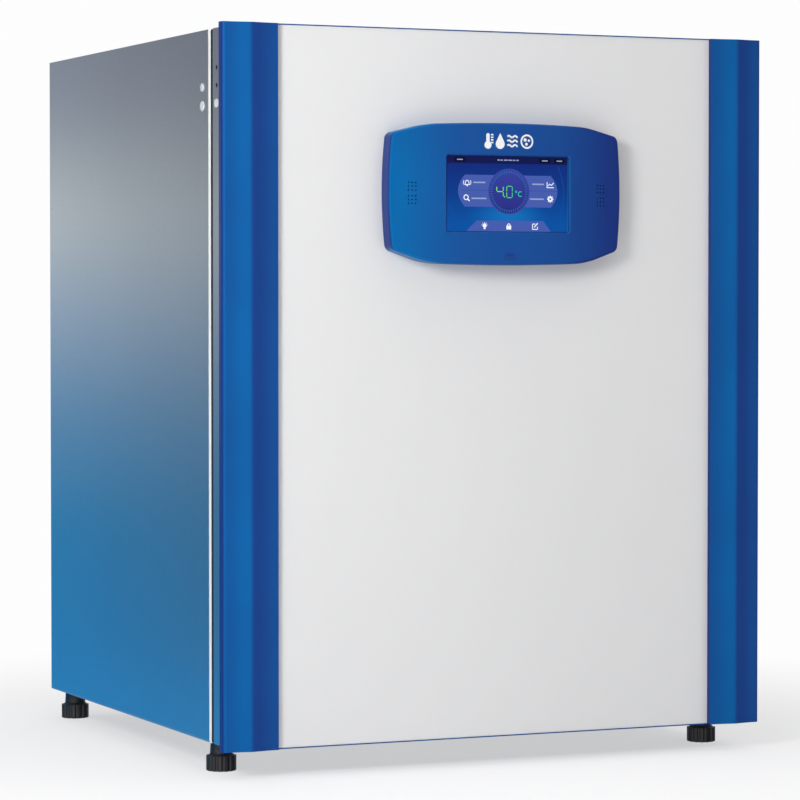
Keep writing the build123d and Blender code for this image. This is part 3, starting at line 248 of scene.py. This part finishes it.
class Look(Nodes):
    """One procedural material, built up from layers of noise."""

    def __init__(self, name, color, roughness, metallic=0.0, **sockets):
        self.material = bpy.data.materials.new(name)
        self.material.use_nodes = True
        super().__init__(self.material.node_tree)
        self.shader = self.tree.nodes["Principled BSDF"]
        self.color = color
        self.roughness = roughness
        self.shader.inputs["Base Color"].default_value = rgba(color)
        self.shader.inputs["Roughness"].default_value = roughness
        self.shader.inputs["Metallic"].default_value = metallic
        for socket, value in sockets.items():
            self.shader.inputs[socket.replace("_", " ")].default_value = value
        self.place = self.add("TexCoord")

    def noise(self, size, detail=3.0, stretch=(1, 1, 1), low=0.35, high=0.65, most=1.0):
        """Noise of a feature size in metres, spread between low and high to 0..most."""
        scaled = self.add("Mapping", {"Vector": self.place.outputs["Object"], "Scale": stretch})
        cloud = self.add("TexNoise", {"Vector": scaled.outputs[0], "Scale": 1 / size, "Detail": detail})
        return self.add("MapRange", {"Value": cloud.outputs["Fac"], "From Min": low, "From Max": high,
                                     "To Max": most}).outputs["Result"]

    def along(self, axis, start, end):
        """0 at start and 1 at end along an axis of the row frame, in metres."""
        split = self.add("SeparateXYZ", {"Vector": self.place.outputs["Object"]})
        return self.spread(split.outputs[axis], start, end, smooth=False)

    def facing(self, axis, start, end):
        """0 to 1 as the surface's own normal turns along an axis."""
        split = self.add("SeparateXYZ", {"Vector": self.place.outputs["Normal"]})
        return self.spread(split.outputs[axis], start, end, smooth=False)

    def blend_color(self, factor, other):
        """Blend from the colour so far to another one."""
        base = self.shader.inputs["Base Color"]
        so_far = base.links[0].from_socket if base.is_linked else self.color
        self.join(self.mix(factor, so_far, other), base)

    def vary_roughness(self, factor, spread):
        """Roughness from spread below to spread above its mean."""
        span = self.add("MapRange", {"Value": factor, "To Min": self.roughness - spread,
                                     "To Max": self.roughness + spread})
        self.join(span.outputs["Result"], self.shader.inputs["Roughness"])

    def bump(self, factor, depth, strength):
        """Relief of a depth in metres."""
        relief = self.add("Bump", {"Height": factor, "Distance": depth, "Strength": strength})
        self.join(relief.outputs["Normal"], self.shader.inputs["Normal"])

    def light_up(self, color, strength):
        """Make the surface shine with a colour."""
        self.join(color, self.shader.inputs["Emission Color"])
        self.shader.inputs["Emission Strength"].default_value = strength


def sheet_steel():
    """Satin pre-coated sheet: fine grain, a slow drift of tone."""
    look = Look("sheet_steel", (0.52, 0.53, 0.55), 0.33, 0.97)
    look.blend_color(look.noise(0.25), (0.54, 0.55, 0.57))
    look.blend_color(look.noise(0.0012, 2, (1, 1, 0.25), 0.3, 0.9), (0.49, 0.50, 0.52))
    look.vary_roughness(look.noise(0.004, 5), 0.04)
    look.bump(look.noise(0.0008, 2, (1, 1, 0.3)), depth=0.00002, strength=0.1)
    return look.material


def powder_coat(name, color, roughness=0.45):
    """Powder coat: faint orange peel and a slow drift of tone."""
    look = Look(name, color, roughness, Specular_IOR_Level=0.25)
    look.blend_color(look.noise(0.3), shaded(color, 0.98))
    look.blend_color(look.noise(0.0016, 3, low=0.2, high=1.0), shaded(color, 0.95))
    look.vary_roughness(look.noise(0.02), 0.04)
    look.bump(look.noise(0.0022, 2), depth=0.00004, strength=0.15)
    return look.material


def blue_gloss_painted_light(name, reach, tones):
    """Blue plastic with painted light: its colour runs through tones as the surface turns from left to
    right, brightest facing left towards the light and deepest facing right, and surfaces turned far to the
    left get painted shade.
    """
    last = tones[-1][1]
    look = Look(name, tones[0][1], 0.34, IOR=PLASTIC_IOR, Specular_Tint=BLUE_SHINE)
    # Painted light: the blue brightens where the surface faces left, towards the light, and deepens where it
    # faces right.
    painted_turn_light = look.ramp(look.facing("X", -reach, reach), tones)
    # Painted shade: surfaces that face far to the left turn dark navy.
    sides = look.facing("X", -0.35, -0.9)
    look.join(painted_turn_light, look.shader.inputs["Base Color"])
    look.blend_color(sides, BLUE_PAINTED_SIDE_SHADE)
    look.blend_color(look.noise(0.12, 3, most=0.2), shaded(last, 0.8))
    look.blend_color(look.noise(0.0010, 2, low=0.3, high=0.9, most=0.15), shaded(last, 0.7))
    look.vary_roughness(look.noise(0.01), 0.03)
    look.bump(look.noise(0.0014, 2), depth=0.00002, strength=0.12)
    return look.material


def moulded(name, color, roughness=0.5, grain=0.0008, depth=0.00005):
    """Moulded plastic or rubber with a fine grain."""
    look = Look(name, color, roughness)
    look.blend_color(look.noise(0.06, most=0.35), shaded(color, 0.85))
    look.vary_roughness(look.noise(0.006), 0.05)
    look.bump(look.noise(grain, 3), depth, strength=0.35)
    return look.material


def brushed(name, color, roughness, stretch, metallic=1.0):
    """Brushed metal with its grain along one way."""
    look = Look(name, color, roughness, metallic)
    grain = look.noise(0.0008, 4, stretch, 0.25, 0.75)
    look.blend_color(grain, shaded(color, 0.93))
    look.vary_roughness(look.noise(0.003, 4, stretch), 0.04)
    look.bump(grain, depth=0.00001, strength=0.12)
    return look.material


def spangled():
    """Galvanised sheet with its zinc spangle."""
    look = Look("spangled", (0.45, 0.47, 0.49), 0.42, 0.9)
    cells = look.add("TexVoronoi", {"Vector": look.place.outputs["Object"], "Scale": 90.0})
    look.blend_color(cells.outputs["Color"], (0.58, 0.60, 0.62))
    look.blend_color(look.noise(0.2), (0.50, 0.52, 0.54))
    look.vary_roughness(look.noise(0.01, 4), 0.08)
    return look.material


def clear_glass():
    """Clear glass with a faint green tone."""
    look = Look("clear_glass", (0.86, 0.95, 0.93), 0.03, Alpha=0.22)
    look.vary_roughness(look.noise(0.05), 0.015)
    return look.material


def insulation():
    """Rough pale foam."""
    look = Look("insulation", (0.80, 0.74, 0.55), 0.9)
    look.blend_color(look.noise(0.004, 6), (0.62, 0.56, 0.40))
    look.bump(look.noise(0.002, 6), depth=0.0006, strength=0.6)
    return look.material


def circuit_board():
    """Green board with a pattern of paler tracks."""
    look = Look("circuit_board", (0.02, 0.16, 0.07), 0.4)
    tracks = look.add("TexBrick", {"Vector": look.place.outputs["Object"], "Scale": 60.0})
    look.blend_color(tracks.outputs["Fac"], (0.05, 0.30, 0.12))
    look.vary_roughness(look.noise(0.01), 0.08)
    return look.material


LEVEL = (0.03, 0.03, 1)
UPRIGHT = (1, 1, 0.03)
# Painted light: blues from the surface facing left (brightest) to facing right (deepest).
TRIM_PAINTED_LIGHT_TONES = [(0.0, (0.006, 0.122, 0.375)), (1.0, (0.014, 0.058, 0.265))]
PANEL_PAINTED_LIGHT_TONES = [(0.0, (0.002, 0.155, 0.42)), (1.0, (0.015, 0.026, 0.19)), (0.30, (0.013, 0.088, 0.33)),
               (0.72, (0.014, 0.074, 0.31))]

LOOKS = {
    "sheet_steel": (sheet_steel(), ("left_side_panel", "right_side_panel", "top_panel", "door_pan")),
    "white_coat": (powder_coat("white_coat", (0.80, 0.80, 0.80)), ("door_front_panel",)),
    "trim_blue": (blue_gloss_painted_light("trim_blue", 0.17, TRIM_PAINTED_LIGHT_TONES),
                  ("left_trim_strip", "right_trim_strip", "door_edge_rails")),
    "panel_blue": (blue_gloss_painted_light("panel_blue", 0.14, PANEL_PAINTED_LIGHT_TONES),
                   ("panel_front_bezel", "panel_rear_housing")),
    "spangled": (spangled(), ("rear_panel", "base_plate", "rear_service_cover")),
    "white_moulded": (moulded("white_moulded", (0.82, 0.83, 0.82), 0.42),
                      ("front_frame", "door_inner_liner", "port_sleeve")),
    "black_moulded": (moulded("black_moulded", (0.012, 0.012, 0.014), 0.42, 0.0006, 0.00008),
                      ("front_left_foot", "front_right_foot", "rear_left_foot", "rear_right_foot",
                       "foot_collars", "power_inlet", "power_rocker", "fan_impeller", "catch_magnet")),
    "stainless_level": (brushed("stainless_level", (0.70, 0.71, 0.72), 0.28, LEVEL),
                        ("upper_shelf", "middle_shelf", "lower_shelf", "humidity_pan", "chamber_liner")),
    "stainless_upright": (brushed("stainless_upright", (0.70, 0.71, 0.72), 0.30, UPRIGHT),
                          ("shelf_racks", "air_duct_cover", "inner_door_brackets", "inner_door_hinges",
                           "catch_plate", "temperature_probe", "inner_door_knob")),
    "hinge_steel": (brushed("hinge_steel", (0.55, 0.56, 0.58), 0.34, LEVEL),
                    ("cabinet_hinge_leaves", "door_hinge_leaves")),
    "bright_steel": (brushed("bright_steel", (0.65, 0.66, 0.68), 0.18, (1, 1, 1)),
                     ("hinge_pins", "cabinet_hinge_screws", "door_hinge_screws", "rear_panel_screws",
                      "fan_shaft", "usb_socket")),
    # The door seal's near-black tone: black rubber, made dark enough to serve also as painted shade in the
    # door gap.
    "seal_black_and_gap_shade": (moulded("seal_black_and_gap_shade", (0.012, 0.014, 0.018), 0.6), ("door_gasket",)),
    "silicone": (moulded("silicone", (0.75, 0.78, 0.78), 0.5), ("chamber_gasket", "port_stopper")),
    "plug_grey": (moulded("plug_grey", (0.62, 0.64, 0.66), 0.4),
                  ("cabinet_hole_plugs", "door_hole_plug", "co2_sensor")),
    "brass": (brushed("brass", (0.72, 0.50, 0.20), 0.25, (1, 1, 1)), ("gas_inlet_barbs",)),
    "motor": (brushed("motor", (0.50, 0.51, 0.53), 0.35, (1, 1, 1)), ("fan_motor",)),
    "foil": (brushed("foil", (0.80, 0.80, 0.81), 0.3, (1, 1, 1)), ("heater_foil",)),
    "insulation": (insulation(), ("cabinet_insulation", "door_insulation")),
    "circuit_board": (circuit_board(), ("control_board", "display_board")),
    "clear_glass": (clear_glass(), ("inner_door_glass",)),
    "screen_black": (moulded("screen_black", (0.01, 0.02, 0.09), 0.12), ("touch_screen",)),
}


def dress_frame():
    """Give every CAD node its material."""
    for material, names in LOOKS.values():
        for name in names:
            data = nodes[name].data
            data.materials.clear()
            data.materials.append(material)


# ---------------------------------------------------------------- flat shapes on the control panel

SCREEN_LOW, SCREEN_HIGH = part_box("touch_screen")
SCREEN_FRONT = SCREEN_LOW.y
SCREEN_Z = (SCREEN_LOW.z + SCREEN_HIGH.z) / 2
PICTURE_MARGIN = 0.4
HALF_WIDTH = (SCREEN_HIGH.x - SCREEN_LOW.x) / 2 / MM - PICTURE_MARGIN
HALF_HEIGHT = (SCREEN_HIGH.z - SCREEN_LOW.z) / 2 / MM - PICTURE_MARGIN
BEZEL_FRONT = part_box("panel_front_bezel")[0].y
FACE_RADIUS = 1130 * MM
LAYER = 0.04 * MM
PLATE = 0.9 * LAYER


def glow(name, color, strength=1.0, roughness=0.18):
    """A lit layer of the display under its glossy cover."""
    look = Look(name, shaded(color, 0.12), roughness, IOR=PLASTIC_IOR)
    look.light_up(rgba(color), strength)
    look.vary_roughness(look.noise(0.02), 0.03)
    return look.material


def solid(name, rings, material, body):
    """A plate between two rings of points with as many points each, in metres."""
    graph = bmesh.new()
    back, front = [[graph.verts.new(point) for point in ring] for ring in rings]
    close_plate(graph, back, front)
    return finish(name, graph, material, body)


def close_plate(graph, back, front):
    """The two faces of a plate and its edge."""
    graph.faces.new(back)
    graph.faces.new(list(reversed(front)))
    for i in range(len(back)):
        j = (i + 1) % len(back)
        graph.faces.new((back[i], front[i], front[j], back[j]))


def finish(name, graph, material, body):
    """Turn a mesh in the making into a piece that rides on a body."""
    bmesh.ops.recalc_face_normals(graph, faces=graph.faces)
    data = bpy.data.meshes.new(name)
    graph.to_mesh(data)
    graph.free()
    data.materials.append(material)
    piece = link_object(name, data)
    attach(piece, body)


def heading(degrees):
    """A unit vector at an angle from the x axis."""
    return Vector((math.cos(math.radians(degrees)), math.sin(math.radians(degrees))))


class Flat:
    """Flat shapes drawn in millimetres from the screen's centre, x right and z up."""

    def __init__(self):
        self.shapes = []

    def polygon(self, points):
        self.shapes.append([tuple(point) for point in points])
        return self

    def box(self, x, z, width, height):
        half_width, half_height = width / 2, height / 2
        return self.polygon([(x - half_width, z - half_height), (x + half_width, z - half_height),
                             (x + half_width, z + half_height), (x - half_width, z + half_height)])

    def bar(self, start, end, width):
        """A straight stroke between two points."""
        first, last = Vector(start), Vector(end)
        run = last - first
        side = Vector((-run.y, run.x)).normalized() * width / 2
        return self.polygon([first - side, last - side, last + side, first + side])

    def stroke(self, points, width):
        """Straight strokes from point to point."""
        for start, end in zip(points, points[1:]):
            self.bar(start, end, width)
        return self

    def disc(self, x, z, radius, sides=40):
        turn = 2 * math.pi / sides
        return self.polygon([(x + radius * math.cos(i * turn), z + radius * math.sin(i * turn))
                             for i in range(sides)])

    def arc(self, x, z, outer, inner, start=0, end=360, steps=48):
        """A ring or part of one, in degrees, as short four-sided pieces."""
        angles = [math.radians(start + (end - start) * i / steps) for i in range(steps + 1)]
        for first, last in zip(angles, angles[1:]):
            corners = ((inner, first), (outer, first), (outer, last), (inner, last))
            self.polygon([(x + r * math.cos(a), z + r * math.sin(a)) for r, a in corners])
        return self

    def rays(self, x, z, start, end, width, angles):
        """Short strokes that point away from a centre."""
        for angle in angles:
            self.bar(Vector((x, z)) + heading(angle) * start, Vector((x, z)) + heading(angle) * end, width)
        return self

    def rounded(self, x, z, width, height, radius, corner_steps=8):
        """A rectangle with round corners."""
        points = []
        for quarter, (sx, sz) in enumerate(((1, 1), (-1, 1), (-1, -1), (1, -1))):
            middle = (x + sx * (width / 2 - radius), z + sz * (height / 2 - radius))
            for step in range(corner_steps + 1):
                angle = math.radians(90 * quarter + 90 * step / corner_steps)
                points.append((middle[0] + radius * math.cos(angle), middle[1] + radius * math.sin(angle)))
        return self.polygon(points)

    def build(self, name, material, layer, depth_at=None, slot="screen_glass"):
        """Make the piece: each shape a thin plate, a number of layers out from a surface."""
        depth_at = depth_at or on_screen
        graph = bmesh.new()
        for shape in self.shapes:
            rings = []
            for offset in (0.0, PLATE):
                rings.append([graph.verts.new((x * MM, depth_at(x * MM) - layer * LAYER - offset,
                                               SCREEN_Z + z * MM)) for x, z in shape])
            close_plate(graph, *rings)
        finish(name, graph, material, "outer_door")


def on_screen(x):
    """Depth of the screen's flat face."""
    return SCREEN_FRONT


def on_bezel(x):
    """Depth of the bezel's convex face."""
    return BEZEL_FRONT + FACE_RADIUS - math.sqrt(FACE_RADIUS ** 2 - x ** 2)


# ---------------------------------------------------------------- the display's picture

# Tones of the lit layers, in linear light.
POD_TONE = (0.058, 0.102, 0.40)
RIM_TONE = (0.046, 0.062, 0.36)
TEAL = (0.000, 0.223, 0.402)
BACKDROP = [(0.0, (0.006, 0.014, 0.17)), (1.0, (0.002, 0.085, 0.37)), (0.5, (0.003, 0.040, 0.24))]
DIAL_TONES = [(0.0, (0.021, 0.024, 0.210)), (1.0, (0.036, 0.052, 0.330))]
DIGIT_TONES = [(0.0, (0.22, 0.80, 0.02)), (1.0, (0.0, 0.42, 0.42)), (0.55, (0.03, 0.62, 0.10))]

# The layout, in millimetres from the screen's centre.
DIAL, DIAL_RIM, DIAL_FACE = (1.2, 3.0), 27.4, 25.9
TICK_START, TICK_END, TICK_WIDTH, TICK_COUNT = 22.0, 24.6, 0.7, 48
POD_HALF, POD_TUCK, POD_LOW, POD_HIGH, POD_MIDDLE = 66, 9, -15.5, 22.5, 4.2
TOP_BAR, TOP_BAR_HEIGHT = HALF_HEIGHT - 4.4, 8.6
PILLS = ((-63.5, 15), (49, 16), (68.5, 15))
TOP_MARKS = ((-12.5, 3), (-8.5, 3), (-3, 5), (3, 5), (8, 3), (12.5, 3))
LABELS = ((-38, 13.5, 16), (-38.5, -5.5, 20), (40, 12.3, 15.8), (38.4, -5.5, 18.8))
GLOW_Z, GLOW_REACH, GLOW_SQUASH = -27, 0.060, 2.2
BELL, MAGNIFIER, GEAR = (-54, 13.2), (-55.4, -4.4), (56.3, -5.3)
LAMP, PADLOCK = (-31, -37.8), (1, -39.9)
FIGURE_STROKE = 1.05

SEGMENTS = {
    "a": ((0, 2), (1, 2)), "b": ((1, 2), (1, 1)), "c": ((1, 1), (1, 0)), "d": ((0, 0), (1, 0)),
    "e": ((0, 1), (0, 0)), "f": ((0, 2), (0, 1)), "g": ((0, 1), (1, 1)),
}


def screen_backdrop():
    """The picture's ground: deep blue at the top, a brighter glow low in the middle."""
    look = Look("screen_backdrop", (0.0, 0.01, 0.05), 0.18, IOR=PLASTIC_IOR)
    tone = look.ramp(look.along("Z", SCREEN_Z + 40 * MM, SCREEN_Z - 36 * MM), BACKDROP)
    centre = look.add("VectorMath", {0: look.place.outputs["Object"],
                                     1: (0, SCREEN_FRONT, SCREEN_Z + GLOW_Z * MM)}, operation="SUBTRACT")
    squeezed = look.add("VectorMath", {0: centre.outputs[0], 1: (1, 0, GLOW_SQUASH)}, operation="MULTIPLY")
    far = look.add("VectorMath", {0: squeezed.outputs[0]}, operation="LENGTH")
    near = look.spread(far.outputs["Value"], GLOW_REACH, 0.0)
    look.light_up(look.mix(near, tone, (0.006, 0.175, 0.52)), 0.85)
    look.vary_roughness(look.noise(0.02), 0.03)
    return look.material


def dial_face():
    """The dial's fill, lighter at its top."""
    look = Look("dial_face", (0.003, 0.004, 0.03), 0.18, IOR=PLASTIC_IOR)
    half = 25 * MM
    middle = SCREEN_Z + DIAL[1] * MM
    look.light_up(look.ramp(look.along("Z", middle - half, middle + half), DIAL_TONES), 0.95)
    look.vary_roughness(look.noise(0.02), 0.03)
    return look.material


def digit_glow():
    """Figures that run from yellow-green at their left to teal at their right."""
    look = Look("digit_glow", (0.01, 0.08, 0.05), 0.2)
    look.light_up(look.ramp(look.along("X", -14 * MM, 17 * MM), DIGIT_TONES), 1.0)
    return look.material


def figure(flat, lit, x, z, width, height):
    """A seven-segment figure with its lower left corner at (x, z)."""
    gap = FIGURE_STROKE * 0.62
    for name in lit:
        (x0, z0), (x1, z1) = SEGMENTS[name]
        start = Vector((x + x0 * width, z + z0 * height / 2))
        end = Vector((x + x1 * width, z + z1 * height / 2))
        inward = (end - start).normalized() * gap
        flat.bar(start + inward, end - inward, FIGURE_STROKE)


def barrel(steps=10):
    """The pods' outline: a long shape whose two ends bulge."""
    middle, half = (POD_LOW + POD_HIGH) / 2, (POD_HIGH - POD_LOW) / 2
    points = []
    for side in (1, -1):
        for step in range(steps + 1):
            height = side * (2 * step / steps - 1)
            points.append((side * (POD_HALF - POD_TUCK * height * height), middle + half * height))
    return points


def build_ground():
    """The backdrop, the dark bar along the top, and a painted highlight down the right edge for the lit wall
    of the screen's recess.
    """
    bar_dark = glow("screen_bar", (0.006, 0.010, 0.085), 0.8)
    # Painted highlight: a glowing strip down the screen's right edge for the lit wall of its recess.
    painted_edge_highlight = glow("screen_painted_edge_highlight", (0.007, 0.188, 0.515), 0.95)
    Flat().rounded(0, 0, HALF_WIDTH * 2, HALF_HEIGHT * 2, 1.2).build("screen_picture", screen_backdrop(), 0)
    Flat().box(0, TOP_BAR, HALF_WIDTH * 2 - 0.4, TOP_BAR_HEIGHT).build("screen_top_bar", bar_dark, 1)
    Flat().box(HALF_WIDTH - 0.35, -0.5, 0.6, HALF_HEIGHT * 2 - 3).build("screen_painted_edge_highlight", painted_edge_highlight, 2)


def build_top_marks(soft_white):
    """The pills on the top bar, and the marks in and between them."""
    pills, marks = Flat(), Flat()
    for x, width in PILLS:
        pills.rounded(x, TOP_BAR, width, 5.4, 2.4)
        marks.box(x, TOP_BAR, 7.5, 1.3)
    pills.build("screen_pills", glow("screen_pill", (0.003, 0.004, 0.030), 0.7), 2)
    for x, width in TOP_MARKS:
        marks.box(x, TOP_BAR, width, 1.4)
    marks.build("screen_top_marks", soft_white, 3)


def build_arcs():
    """Two faint great arcs, low on the left and down the right."""
    arcs = Flat()
    arcs.stroke([(-79, -14.5), (-73, -23), (-66, -30), (-58.5, -35), (-50, -38)], 0.6)
    arcs.stroke([(67, 34), (72, 20), (74.6, 6), (73.5, -10), (69, -26), (60, -43.5)], 0.6)
    arcs.build("screen_arcs", glow("screen_faint", (0.004, 0.090, 0.36), 0.9), 1)


def build_dial():
    """The dial with its ring of ticks and the temperature."""
    Flat().disc(*DIAL, DIAL_RIM, 72).build("screen_dial_rim", glow("screen_rim", RIM_TONE, 0.9), 4)
    Flat().disc(*DIAL, DIAL_FACE, 72).build("screen_dial_face", dial_face(), 5)
    turns = [i * 360 / TICK_COUNT for i in range(TICK_COUNT)]
    ticks = Flat().rays(*DIAL, TICK_START, TICK_END, TICK_WIDTH, turns)
    ticks.build("screen_dial_ticks", glow("screen_teal", TEAL, 0.95), 6)
    digits = Flat()
    figure(digits, "fgbc", -15.0, -3.4, 8.6, 12.7)
    digits.box(-4.6, -3.2, 1.4, 1.4)
    figure(digits, "abcdef", -1.8, -4.2, 7.4, 13.6)
    digits.arc(10.6, 3.0, 1.4, 0.7, steps=20)
    digits.arc(16.4, 0.3, 3.4, 2.2, 55, 305, 24)
    digits.build("screen_digits", digit_glow(), 7)


def build_screen():
    """The display's picture, layer upon layer."""
    white = glow("screen_white", (0.86, 0.90, 0.97), 0.95)
    soft_white = glow("screen_soft_white", (0.42, 0.50, 0.78), 0.65)
    pod = glow("screen_pod", POD_TONE, 0.95)
    shade = glow("screen_shade", (0.020, 0.050, 0.30), 0.9)
    build_ground()
    build_top_marks(soft_white)
    build_arcs()
    Flat().polygon(barrel()).build("screen_pod", pod, 2)
    lines = Flat().box(-42, POD_MIDDLE, 40, 0.4).box(45, POD_MIDDLE, 40, 0.4)
    lines.build("screen_pod_lines", shade, 3)
    build_dial()
    low = -HALF_HEIGHT + 0.5
    Flat().polygon([(-55, low), (57, low), (53, low + 5), (47, low + 12.6), (-41, low + 12.6),
                    (-50, low + 5)]).build("screen_bottom_bar", pod, 2)
    icons = Flat()
    draw_icons(icons)
    icons.build("screen_icons", white, 4)
    words = Flat()
    for x, z, width in LABELS:
        words.rounded(x, z, width, 1.7, 0.8)
    words.build("screen_labels", soft_white, 3)


def draw_icons(icons):
    """White pictograms: bell, magnifier, graph, gear, lamp, padlock and note."""
    # bell with sound arcs
    x, z = BELL
    icons.arc(x, z + 0.4, 2.6, 1.6, 0, 180, 16)
    for side in (-1, 1):
        icons.bar((x + side * 2.2, z + 0.4), (x + side * 2.7, z - 2.3), 1.0)
    icons.bar((x - 3.4, z - 2.5), (x + 3.4, z - 2.5), 1.0).disc(x, z - 3.7, 0.9, 12)
    icons.arc(x, z, 5.3, 4.5, 150, 210, 8).arc(x, z, 5.3, 4.5, -30, 30, 8)
    # magnifier
    icons.arc(*MAGNIFIER, 3.4, 2.2, steps=28).bar((-53.0, -6.6), (-50.9, -8.8), 1.5)
    # graph
    icons.bar((52.1, 15.1), (52.1, 8.5), 1.0).bar((51.6, 8.5), (61.0, 8.5), 1.0)
    icons.stroke([(53.4, 10.6), (55.6, 12.8), (57.8, 11.2), (60.8, 14.2)], 1.0)
    # gear
    icons.arc(*GEAR, 3.0, 1.3, steps=28).rays(*GEAR, 2.8, 4.1, 1.5, range(0, 360, 45))
    # lamp
    icons.disc(*LAMP, 2.6, 24).box(LAMP[0], LAMP[1] - 3.4, 2.4, 1.8)
    icons.rays(*LAMP, 3.2, 4.3, 0.7, range(10, 171, 40))
    # padlock
    x, z = PADLOCK
    icons.box(x, z, 6.4, 4.6).arc(x, z + 2.5, 2.4, 1.4, 0, 180, 16)
    for side in (-1, 1):
        icons.bar((x + side * 1.9, z + 2.6), (x + side * 1.9, z + 1.9), 1.0)
    # note with a pen
    icons.stroke([(36.4, -35.4), (32.6, -35.4), (32.6, -41.8), (39.2, -41.8), (39.2, -38.6)], 1.0)
    icons.bar((34.8, -39.4), (39.6, -34.4), 1.3)


# ---------------------------------------------------------------- marks on the bezel, and the painted shade in the door gap

EMBLEM_Z, EMBLEM_HEIGHT = 53.5, 19
THERMOMETER_X, DROP_X, AIR_X, DISH_X = -29.0, -13.0, -3.5, 22.5
DROP_RADIUS = 5.9
PORT_MARK_X, PORT_MARK_LOW, PORT_MARK_HIGH = 6.2, -77.6, -71.4


def teardrop(x, base, radius, height, steps=18):
    """A drop: a round bottom that rises to a point."""
    centre = base + radius
    tilt = math.asin(radius / (height - radius))
    points = [(x, base + height)]
    for step in range(steps + 1):
        angle = math.pi - tilt + (math.pi + 2 * tilt) * step / steps
        points.append((x + radius * math.cos(angle), centre + radius * math.sin(angle)))
    return points


def build_bezel_marks():
    """A thermometer, a drop, moving air and a dish in white above the screen, and a port mark below it."""
    white = powder_coat("emblem_white", (0.92, 0.92, 0.93), 0.35)
    emblem = Flat()
    # thermometer with scale marks
    x, z = THERMOMETER_X, EMBLEM_Z
    emblem.disc(x, z + 4.6, 4.6, 28).bar((x, z + 6), (x, z + 16.5), 4.4).disc(x, z + 16.5, 2.2, 20)
    for step in range(4):
        height = z + 7.5 + 3.1 * step
        emblem.bar((x + 3.9, height), (x + 7.1, height), 1.7)
    emblem.polygon(teardrop(DROP_X, z, DROP_RADIUS, EMBLEM_HEIGHT))
    # moving air
    for row in range(3):
        height = z + 4.2 + 5.4 * row
        emblem.stroke([(AIR_X + 1.35 * i, height + 1.3 * math.sin(i * math.pi / 3)) for i in range(11)], 2.1)
    # culture dish
    emblem.arc(DISH_X, z + 9.4, 8.6, 6.5, steps=40)
    for dx, dz, radius in ((-2.4, 11.4, 2.1), (2.6, 10.6, 1.6), (-0.6, 6.4, 1.8)):
        emblem.disc(DISH_X + dx, z + dz, radius, 16)
    emblem.build("panel_emblem", white, 0, on_bezel, "white_coat")
    engraved = moulded("port_mark", (0.008, 0.012, 0.16), 0.5)
    x, low, high = PORT_MARK_X, PORT_MARK_LOW, PORT_MARK_HIGH
    mark = Flat().stroke([(-x, low), (-x, high), (x, high), (x, low), (-x, low)], 0.9)
    mark.box(0, -73.7, 8.0, 1.7)
    mark.build("panel_port_mark", engraved, 0, on_bezel, "panel_blue")


def build_gap_shade_strip():
    """A dark strip as painted shade in the gap between door and cabinet, along the top, the latch side and
    the bottom.
    """
    left, right, low, high, width, cut = -351.8, 318.0, 38.4, 877.6, 2.4, 0.8
    front, back = -286.4, -279.0
    outline = [(right, high), (left + cut, high), (left, high - cut), (left, low + cut), (left + cut, low),
               (right, low), (right, low + width), (left + width + 1, low + width),
               (left + width, low + width + 1), (left + width, high - width - 1),
               (left + width + 1, high - width), (right, high - width)]
    rings = [[(x * MM, y * MM, z * MM) for x, z in outline] for y in (front, back)]
    # Painted shade: a near-black strip that stands in for the shade in the door gap.
    rubber = moulded("door_gap_painted_shade", (0.010, 0.012, 0.016), 0.6)
    solid("door_gap_shade_strip", rings, rubber, "outer_door")


# ---------------------------------------------------------------- the scene

bpy.context.scene.view_settings.view_transform = "Standard"
add_camera()
add_studio()
dress_frame()
build_screen()
build_bezel_marks()
build_gap_shade_strip()
